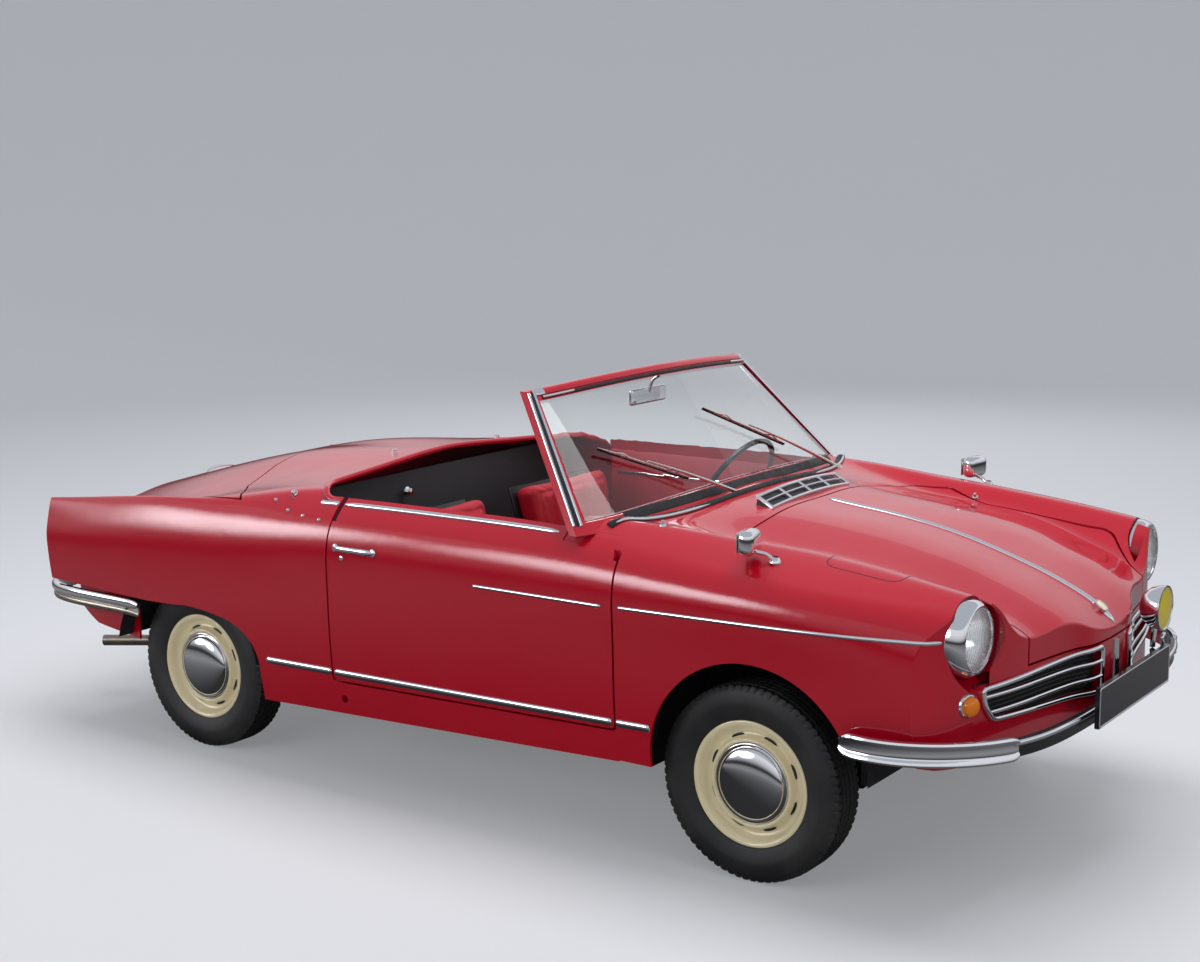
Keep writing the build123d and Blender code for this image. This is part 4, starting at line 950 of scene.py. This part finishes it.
def steering_wheel():
    """Thin rim, three spokes and a pale horn button."""
    centre = Vector(at(*WHEEL_CENTRE))
    turn = Vector(UP).rotation_difference(WHEEL_AXIS).to_matrix()
    rim = [(0.0085 * math.sin(a), 0.19 + 0.0085 * math.cos(a)) for a in spread(0, 2 * math.pi, 13)[:-1]]
    spokes = []
    for bearing in (0, 180, 270):
        a = math.radians(bearing)
        away = turn @ Vector((math.sin(a), math.cos(a), 0))
        path = [centre + away * r - WHEEL_AXIS * 0.022 * (1 - r / 0.19) ** 0.8
                for r in spread(0.02, 0.186, 14)]
        scales = [1.25 - 0.4 * k / 13 for k in range(14)]
        spokes.append(sweep(path, [WHEEL_AXIS] * 14, half_round(0.018, 0.003, 0.002), scales))
    hub = mm(-70, 12, -30, 14, -28, 30, -16, 32, -10, 28)
    button = mm(-12, 27, -6, 25, -2, 16, -1, 0)
    rim = lathe(rim, centre, WHEEL_AXIS, 96, closed=True)
    hub, button = (lathe(profile, centre, WHEEL_AXIS, 40) for profile in (hub, button))
    piece("steering_rim", rim, "black", "steering_wheel", replaces=["steering_wheel"])
    piece("steering_spokes", join(*spokes, hub), "satin", "steering_wheel")
    piece("horn_button", button, "ivory", "steering_wheel")


def dials():
    """Instruments before the driver, knobs in the middle, and a glove-box lid on the right."""
    tree = tree_of("dashboard")
    bezels, faces, marks, knobs = [], [], [], []

    def on_dash(y, z):
        """Point of the dashboard's face, and its normal."""
        return cast(tree, at(-1.0, y, z), AHEAD)

    for y, radius in ((0.225, 0.044), (0.33, 0.044), (0.425, 0.034), (0.5, 0.024)):
        place, normal = on_dash(y, 0.742)
        bezel = [(out, radius - inward) for out, inward in mm(-1, 0, 5, 0, 7, 3, 5, 6, 2, 6)]
        bezels.append(lathe(bezel, place, normal, 48))
        faces.append(lathe([(0.002, radius - 0.005), (0.0022, 0.0)], place, normal, 48))
        across = normal.cross(Vector(LEFT)).normalized()
        along = normal.cross(across)
        lines = [(-130 + 260 * k / 12, 0.003, radius - 0.013, radius - 0.008, 0.0007) for k in range(13)]
        lines.append((-60, 0.0036, -0.004, radius - 0.016, 0.0009))
        for bearing, rise, start, end, thick in lines:
            a = math.radians(bearing)
            spoke = across * math.cos(a) + along * math.sin(a)
            ends = [place + normal * rise + spoke * start, place + normal * rise + spoke * end]
            marks.append(rod(ends, thick, 4, tuple(normal)))
    knob = mm(-1, 5, 10, 5, 12, 10, 18, 10.5, 21, 7, 22, 0)
    for y in spread(-0.12, 0.12, 5):
        knobs.append(lathe(knob, *on_dash(y, 0.715), 24))
    piece("dial_bezels", join(*bezels), "chrome")
    piece("dial_faces", join(*faces), "dial")
    piece("dial_marks", join(*marks), "figures")
    piece("dash_knobs", join(*knobs), "ivory")
    corners = [(-0.48, 0.688), (-0.2, 0.688), (-0.2, 0.778), (-0.48, 0.778)]
    hits = [on_dash(y, z) for y, z in refined(rounded_path(corners, 0.012), 0.02)]
    piece("glove_box_line", ribbon(hits, half_round(0.004, 0.0015), closed=True), "chrome")


DOOR_INNER_Y = 0.67


def door_cards():
    """Inner trim of the doors, with bright strips, a winder, a lever and a pull."""
    boss = mm(0, 20, 6, 19, 10, 10, 18, 9, 18, 0)
    for name, side in SIDES:
        def inside(x, depth, z):
            """Point this far in from the door's inner face."""
            return at(x, side * DOOR_INNER_Y - side * depth, z)

        card = slab((0.785, 0.006, 0.43), 0.0028, inside(-0.968, 0.002, 0.622))
        piece(f"door_card_{name}", card, "vinyl", f"door_{name}")
        ribs = [slab((0.74, 0.006, 0.01), 0.0028, inside(-0.968, 0.005, z)) for z in (0.76, 0.5)]
        winder = lathe(boss, inside(-0.86, 0.004, 0.6), (0, -side, 0), 28)
        crank = rod([inside(-0.86, 0.02, 0.6), inside(-0.89, 0.024, 0.555)], 0.005)
        lever = rod([inside(x, depth, 0.69) for x, depth in ((-0.7, 0.006), (-0.7, 0.018), (-0.78, 0.022))],
                    0.005)
        piece(f"door_fittings_{name}", join(*ribs, winder, crank, lever), "chrome", f"door_{name}")
        path = curve([inside(-1.18, 0.003, 0.66), inside(-1.14, 0.034, 0.666), inside(-1.02, 0.034, 0.672),
                      inside(-0.98, 0.003, 0.678)])
        pull = sweep(path, [(0, -side, 0.01)] * len(path), half_round(0.022, 0.008, 0.004))
        piece(f"door_pull_{name}", pull, "dash", f"door_{name}")


def floor_fittings():
    """Carpets, pedals, gear and handbrake levers, and the board behind the seats."""
    mats = [slab((1.28, 0.53, 0.01), 0.004, at(-0.985, side * 0.357, 0.251)) for side in (1, -1)]
    mats.append(slab((1.26, 0.176, 0.008), 0.003, at(-0.985, 0, 0.358)))
    piece("carpets", join(*mats), "carpet")
    pedals = (0.395, 0.3)
    pads = [slab((0.01, 0.052, 0.062), 0.004, at(-0.438, y, 0.402), (-28, "Y")) for y in pedals]
    pads.append(slab((0.01, 0.04, 0.12), 0.004, at(-0.44, 0.205, 0.37), (-40, "Y")))
    piece("pedal_pads", join(*pads), "rubber")
    stems = [rod([at(-0.432, y, 0.405), at(-0.352, y, 0.5)], 0.006) for y in pedals]
    piece("pedal_stems", join(*stems), "steel")
    gaiter = mm(0, 45, 14, 40, 22, 28, 40, 20, 48, 12)
    brake = rod(curve([at(-1.05, 0.03, 0.37), at(-0.95, 0.03, 0.392), at(-0.84, 0.03, 0.44)]), 0.011)
    piece("lever_gaiter", join(lathe(gaiter, at(-0.8, 0, 0.358), UP, 32), brake), "rubber")
    lever = rod(curve([at(-0.8, 0, 0.4), at(-0.83, 0, 0.48), at(-0.87, 0.02, 0.56)]), 0.006)
    piece("gear_lever", lever, "chrome")
    knob = mm(-16, 6, -8, 17, 2, 20, 12, 15, 17, 0)
    piece("gear_knob", lathe(knob, at(-0.872, 0.021, 0.566), (-0.3, 0.1, 1), 28), "ivory")
    piece("rear_board", slab((0.012, 1.236, 0.61), 0.004, at(-1.566, 0, 0.556), (-2, "Y")), "dash")
    latch = mm(0, 16, 6, 16, 10, 8, 20, 12, 24, 0)
    piece("rear_board_knob", lathe(latch, at(-1.556, -0.2, 0.8), AHEAD, 28), "chrome")


def cockpit_rim():
    """Rolled lip round the back of the cockpit."""
    tree = tree_of("rear_deck", "rear_wing_left", "rear_wing_right")
    half = [(-1.386, 0.669), (-1.445, 0.669), (-1.52, 0.57)]
    points = [*half, (-1.545, 0.0), *[(x, -y) for x, y in reversed(half)]]
    line = refined(rounded_path([(fore(x), y) for x, y in points], 0.035, closed=False), 0.02, closed=False)
    hits = []
    for i, point in enumerate(line):
        along = (line[min(i + 1, len(line) - 1)] - line[max(i - 1, 0)]).normalized()
        outward = Vector((along.y, -along.x))
        if outward.dot(point - Vector((fore(-1.0), 0))) < 0:
            outward = -outward
        place = point + outward * 0.01
        hits.append(from_above(tree, place.x, place.y))
    lip = ribbon(hits, half_round(0.02, 0.008, 0.003), tapered(len(hits)))
    piece("cockpit_lip", lip, "paint", smooth=60)


def pillar_feet():
    """Body-coloured fillets between the scuttle's ends and the tops of the doors."""
    tree = tree_of("front_wing_left")
    section = mm(18.5, 12.5, 6.5, 5.5, -3.5, -3.5, -13.5, -12.5, -18.5, -17, -18.5, -60, 18.5, -60)
    path = [(x, 0.6865, from_above(tree, x, 0.666)[0].z - 0.0145)
            for x in (fore(x) for x in spread(-0.557, -0.371, 14))]
    piece("pillar_feet", both_sides(sweep(path, [UP] * 14, section)), "paint")


def small_fittings():
    """Cover studs, washer jets, fuel flap's seam, plate's border, a hook and the engine lid's handle."""
    deck = tree_of("rear_deck", "rear_wing_left", "rear_wing_right", "engine_lid")
    stud = mm(0, 11, 3, 11, 6, 8.5, 10, 8.5, 13, 6, 14, 0)
    small_stud = [(along * 0.45, radius * 0.5) for along, radius in stud]
    studs = [lathe(stud, *from_above(deck, fore(x), y), 28)
             for x, y in ((-1.579, -0.671), (-1.642, -0.151), (-1.616, 0.346), (-1.579, 0.671))]
    studs += [lathe(small_stud, *from_above(deck, fore(x), side * y), 16) for side in (1, -1)
              for x, y in ((-1.43, 0.728), (-1.5, 0.722), (-1.57, 0.712), (-1.64, 0.69))]
    piece("tonneau_studs", join(*studs), "chrome")
    wings = tree_of("front_wing_left", "front_wing_right", "scuttle_panel", "bonnet")
    jet = mm(0, 10, 3, 9, 5, 5, 14, 4.5, 16, 0)
    jets = [lathe(jet, *from_above(wings, fore(x), y), 20) for x, y in ((-0.312, -0.6), (0.08, 0.5))]
    piece("washer_jets", join(*jets), "chrome")
    flap = [(0.17, -0.5), (0.38, -0.5), (0.38, -0.615), (0.17, -0.615)]
    wing = tree_of("front_wing_right")
    hits = [from_above(wing, fore(x), y) for x, y in refined(rounded_path(flap, 0.04), 0.012)]
    piece("fuel_flap_line", ribbon(hits, half_round(0.003, 0.0006, 0.0005), closed=True), "rubber")
    plate = [(-0.257, 0.433), (0.257, 0.433), (0.257, 0.532), (-0.257, 0.532)]
    path = [at(0.76, y, z) for y, z in refined(rounded_path(plate, 0.006), 0.03)]
    border = sweep(path, [AHEAD] * len(path), half_round(0.004, 0.0015), closed=True)
    piece("front_plate_border", border, "chrome")
    path = curve([at(0.735, 0.262, 0.48), at(0.742, 0.256, 0.52), at(0.742, 0.246, 0.552),
                  at(0.742, 0.262, 0.56)])
    piece("bumper_hook", rod(path, 0.006), "chrome")
    path, lid, reach = [], tree_of("engine_lid"), 0.07
    for y in spread(-reach, reach, 19):
        place, normal = from_above(lid, aft(-0.585), y)
        path.append(place + normal * 0.018 * math.cos(y / reach * math.pi / 2) ** 0.4)
    piece("engine_lid_handle", sweep(path, [UP] * 19, oval(0.007, 0.004, 12)), "chrome", "engine_lid")


def engine():
    """Ribbed crankcase over a finned sump, with a cover on top and a belt pulley behind."""
    low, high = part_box("engine_block")
    x, length = (low.x + high.x) / 2, high.x - low.x
    case = [block((length - 0.05, 0.3, 0.105), 0.018, (x, 0, low.z + 0.064)),
            block((length - 0.03, 0.37, 0.15), 0.022, (x, 0, low.z + 0.185)),
            block((length - 0.07, 0.24, 0.11), 0.016, (x, 0, high.z - 0.085))]
    case += [slab((length - 0.1, 0.006, 0.024), 0.0025, (x, y, low.z + 0.013))
             for y in spread(-0.125, 0.125, 11)]
    case += [slab((0.007, 0.41, 0.1), 0.003, (x + shift, 0, low.z + 0.185))
             for shift in spread(-0.15, 0.15, 9)]
    piece("engine_case", join(*case), "alloy", replaces=["engine_block"])
    piece("engine_cover", block((length - 0.09, 0.16, 0.05), 0.018, (x, 0, high.z - 0.026)), "black")
    groove = mm(0, 0, 0, 66, 6, 70, 10, 64, 14, 64, 18, 70, 24, 66, 24, 20, 28, 18, 28, 0)
    piece("engine_pulley", lathe(groove, (low.x + 0.029, 0, low.z + 0.165), (-1, 0, 0), 48), "steel")


def wheelhouses():
    """Dark liners over the wheels, squared off ahead of and behind them."""
    shapes = []
    for x, z, radius, inner, arc in (
            (fore(0.035), 0.3, 0.36, 0.404, (6, 176)), (aft(0.0), 0.262, 0.32, 0.488, (12, 168))):
        verts = []
        for a in (math.radians(bearing) for bearing in spread(*arc, 30)):
            reach = min(radius, 0.33 / abs(math.cos(a))) if abs(math.cos(a)) > 0.5 else radius
            verts += [(x + reach * math.cos(a), y, z + radius * math.sin(a)) for y in (0.735, inner)]
        shapes.append((verts, [*grid_faces(30, 2), tuple(range(1, 60, 2))]))
    piece("wheelhouses", both_sides(join(*shapes)), "matt", smooth=60)


# ---- Seats ----
def inflated(size, radius, cap):
    """Padded block about the origin, swollen by cloth under pressure, no point moving more than cap."""
    verts, faces = rounded_box(size, radius, 3)
    mesh = bpy.data.meshes.new("pad")
    mesh.from_pydata([tuple(v) for v in verts], [], faces)
    pad = bpy.data.objects.new("pad", mesh)
    bpy.context.scene.collection.objects.link(pad)
    bpy.context.view_layer.objects.active = pad
    remesh = pad.modifiers.new("remesh", "REMESH")
    remesh.mode = "VOXEL"
    remesh.voxel_size = 0.007
    bpy.ops.object.modifier_apply(modifier="remesh")
    start = [v.co.copy() for v in pad.data.vertices]
    cloth = pad.modifiers.new("cloth", "CLOTH")
    cloth.settings.use_pressure = True
    cloth.settings.uniform_pressure_force = 4
    cloth.settings.effector_weights.gravity = 0
    for step in range(1, 21):
        bpy.context.scene.frame_set(step)
    bpy.ops.object.modifier_apply(modifier="cloth")
    bpy.context.scene.frame_set(1)
    found = []
    for vert, first in zip(pad.data.vertices, start):
        shift = vert.co - first
        found.append(first + shift * min(1, cap / max(shift.length, 1e-6)))
    faces = [tuple(p.vertices) for p in pad.data.polygons]
    bpy.data.objects.remove(pad)
    return found, faces


def channelled(shape, size, channels, border):
    """Press sewn channels, run along local X, and a border seam into the top of a pad."""
    half_length, half_width, half_depth = (measure / 2 for measure in size)
    pitch = 2 * (half_width - border) / channels
    pressed = []
    for v in shape[0]:
        top = max(0, min(1, (v.z / half_depth - 0.2) / 0.5))
        edge = min(half_length - border - abs(v.x), half_width - border - abs(v.y))
        sink = 0.009 * math.exp(-(edge / 0.008) ** 2)
        if edge > 0:
            offset = (v.y + half_width - border) % pitch
            sink = max(sink, 0.008 * math.exp(-(min(offset, pitch - offset) / 0.008) ** 2))
        pressed.append(v - Vector((0, 0, sink * top)))
    return pressed, shape[1]


BACK_LEAN = 16                # degrees a seat's back leans from upright


def seats():
    """Two seats, each a padded cushion and back on a dark frame, shell and rails."""
    cushion_size, back_size = (0.41, 0.452, 0.12), (0.36, 0.44, 0.082)
    cushion = channelled(inflated(cushion_size, 0.03, 0.016), cushion_size, 6, 0.045)
    back = channelled(inflated(back_size, 0.026, 0.014), back_size, 6, 0.042)
    for name, side in SIDES:
        y = side * SEAT_Y
        low = placed(cushion, at(-0.985, y, 0.378), (-4, "Y"))
        high = placed(back, at(-1.288, y, 0.62), (90 - BACK_LEAN, "Y"))
        for pad in (piece(f"seat_cushion_{name}", low, "vinyl", smooth=60, replaces=[f"seat_{name}"]),
                    piece(f"seat_back_{name}", high, "vinyl", smooth=60)):
            subdivide = pad.modifiers.new("smooth", "SUBSURF")
            subdivide.levels = subdivide.render_levels = 1
        base = slab((0.4, 0.42, 0.03), 0.008, at(-0.99, y, 0.303))
        rails = [y + s * 0.17 for s in (1, -1)]
        legs = [rod([at(x, rail, 0.256), at(x, rail, 0.3)], 0.009)
                for x in (-0.83, -1.14) for rail in rails]
        rails = [rod([at(-0.78, rail, 0.262), at(-1.2, rail, 0.262)], 0.007) for rail in rails]
        shell = slab((0.36, 0.43, 0.014), 0.006, at(-1.338, y, 0.606), (90 - BACK_LEAN, "Y"))
        piece(f"seat_frame_{name}", join(base, *legs, *rails, shell), "black")


# ---- Stage, lamps and camera ----
CAMERA_PLACE = (3.366, -4.615, 1.852)
CAMERA_YAW, CAMERA_DOWN, CAMERA_ROLL = 35.36, 9.93, -0.56      # degrees
CAMERA_LENS = 55.97


def make_camera():
    """Camera that looks at the car's front corner."""
    data = bpy.data.cameras.new("camera")
    data.lens = CAMERA_LENS
    camera = bpy.data.objects.new("camera", data)
    bpy.context.scene.collection.objects.link(camera)
    turn = Matrix.Rotation(math.radians(CAMERA_YAW), 4, "Z")
    tilt = Matrix.Rotation(math.radians(90 - CAMERA_DOWN), 4, "X")
    roll = Matrix.Rotation(math.radians(CAMERA_ROLL), 4, "Z")
    camera.matrix_world = Matrix.Translation(CAMERA_PLACE) @ turn @ tilt @ roll
    bpy.context.scene.camera = camera


CAMERA_LIFT = 0.25            # share of plain pale light in what the camera sees of the stage
STUDIO_REACH = 16             # metres from the car's middle to the mirrored studio's last grey
STUDIO_GREYS = ((1.4, 0.03), (3.0, 0.26), (6.0, 0.14), (9.5, 0.03), (11.0, 0.06), (12.5, 0.45),
                (14.0, 0.75))
SOFTBOXES = ((-6.2, -11.2, 5.0), (-10.2, -8.0, 4.4))      # middles of its two bright spots


def stage_material():
    """Pale matt surface, lifted a little for the camera, that mirrors see as a dim studio."""
    material = new_material("stage", (0.6, 0.61, 0.63), 0.6)
    tree = material.node_tree
    rays = shader_node(tree, "LightPath").outputs
    seen_through, mirrored = rays["Is Transmission Ray"], rays["Is Glossy Ray"]
    direct = shader_node(tree, "Math", {0: rays["Is Camera Ray"], 1: seen_through}, use_clamp=True)
    share = shader_node(tree, "Math", {0: direct.outputs["Value"], 1: CAMERA_LIFT}, operation="MULTIPLY")
    lift = shader_node(tree, "Emission", {"Color": (0.8, 0.81, 0.84, 1)})
    plain = shader_node(tree, "MixShader", {
        "Fac": share.outputs["Value"], 1: tree.nodes["Principled BSDF"].outputs["BSDF"],
        2: lift.outputs["Emission"]})

    place = shader_node(tree, "TexCoord").outputs["Object"]
    reach = shader_node(tree, "VectorMath", {0: place}, operation="LENGTH").outputs["Value"]
    far = shader_node(tree, "Math", {0: reach, 1: STUDIO_REACH}, operation="DIVIDE").outputs["Value"]
    ramp = shader_node(tree, "ValToRGB", {"Fac": far})
    stops = ramp.color_ramp.elements
    stops[0].position, stops[0].color = 0.0, (0.02, 0.02, 0.02, 1)
    stops[1].position, stops[1].color = 1.0, (0.75, 0.78, 0.84, 1)
    for metres, grey in STUDIO_GREYS:
        stops.new(metres / STUDIO_REACH).color = (grey, grey, grey * 1.06, 1)
    glows = []
    for softbox in SOFTBOXES:
        away = shader_node(tree, "VectorMath", {0: place, 1: softbox}, operation="DISTANCE")
        glow = {"Value": away.outputs["Value"], "From Min": 0.6, "From Max": 3.4, "To Min": 14, "To Max": 1}
        glow = shader_node(tree, "MapRange", glow, interpolation_type="SMOOTHSTEP")
        glows.append(glow.outputs["Result"])
    brightest = shader_node(tree, "Math", enumerate(glows), operation="MAXIMUM")
    studio = shader_node(tree, "Emission", {
        "Color": ramp.outputs["Color"], "Strength": brightest.outputs["Value"]})

    mirror_only = shader_node(
        tree, "Math", {0: mirrored, 1: seen_through}, operation="SUBTRACT", use_clamp=True)
    mix = shader_node(tree, "MixShader", {
        "Fac": mirror_only.outputs["Value"], 1: plain.outputs["Shader"], 2: studio.outputs["Emission"]})
    tree.links.new(mix.outputs["Shader"], tree.nodes["Material Output"].inputs["Surface"])
    return material


def make_stage():
    """Round floor that curves up into a wall."""
    profile = [(0.0, 0.0), (0.0, 9.0)]
    profile += [(4.0 * (1 - math.cos(a)), 9.0 + 4.0 * math.sin(a)) for a in spread(0.1, math.pi / 2, 14)]
    profile.append((9.0, 13.0))
    verts, faces = lathe(profile, ORIGIN, UP, 96)
    mesh = bpy.data.meshes.new("stage")
    mesh.from_pydata([tuple(v) for v in verts], [], faces)
    mesh.shade_smooth()
    stage = bpy.data.objects.new("stage", mesh)
    bpy.context.scene.collection.objects.link(stage)
    mesh.materials.append(stage_material())


def area_lamp(name, place, target, size, power):
    """Soft lamp that lights the car but isn't mirrored by it."""
    data = bpy.data.lights.new(name, "AREA")
    data.shape = "RECTANGLE"
    data.size, data.size_y = size
    data.energy = power
    lamp = bpy.data.objects.new(name, data)
    bpy.context.scene.collection.objects.link(lamp)
    lamp.visible_glossy = False
    lamp.location = place
    lamp.rotation_euler = (Vector(target) - Vector(place)).to_track_quat("-Z", "Y").to_euler()


def make_lamps():
    """Four soft lamps and a pale sky."""
    area_lamp("overhead", (0.0, 0.4, 5.0), (0.0, 0.0, 0.0), (6.0, 2.6), 260)
    area_lamp("side", (-1.0, -7.0, 3.4), (0.0, 0.0, 0.4), (5.0, 1.2), 110)
    area_lamp("nose", (7.0, -2.0, 3.2), (1.0, 0.0, 0.5), (2.6, 1.2), 70)
    area_lamp("back", (-3.0, 7.0, 4.0), (0.0, 0.0, 0.5), (5.0, 2.0), 110)
    world = bpy.data.worlds.new("world")
    world.use_nodes = True
    sky = world.node_tree.nodes["Background"].inputs
    sky["Color"].default_value = (0.8, 0.85, 0.95, 1)
    sky["Strength"].default_value = 0.55
    bpy.context.scene.world = world


# the finish that each slot's CAD nodes get, where several finishes share a slot
NOT_ON_CAD = ("carpet", "dial", "figures", "silvered")
CAD_FINISH = {slot: finish for finish, slot in SLOTS.items() if finish not in NOT_ON_CAD}
CAD_FINISH["black_plastic"] = "black"
OTHER_FINISH = {"windscreen_frame": "paint", "front_luggage_tub": "matt"}


def finish_cad_nodes():
    """Give every CAD node the finish its slot in the record asks for."""
    for part in frame["record"]["subparts"]:
        node = NODES[part["node"]]
        node.data.materials.clear()
        node.data.materials.append(M[OTHER_FINISH.get(part["node"], CAD_FINISH[part["material_slot"]])])


bpy.context.scene.view_settings.view_transform = "Standard"
make_camera()
make_stage()
make_lamps()
finish_cad_nodes()
make_wheels()
wheelhouses()
engine()
side_strips()
door_tops()
door_handles()
bonnet_strip()
nose_trim()
grilles()
bumpers()
headlamps()
lamp_collars()
fog_lamp()
indicators()
tail_lamps()
wing_mirrors()
interior_mirror()
scuttle_vent()
wipers()
windscreen()
steering_wheel()
dials()
door_cards()
floor_fittings()
cockpit_rim()
pillar_feet()
small_fittings()
seats()
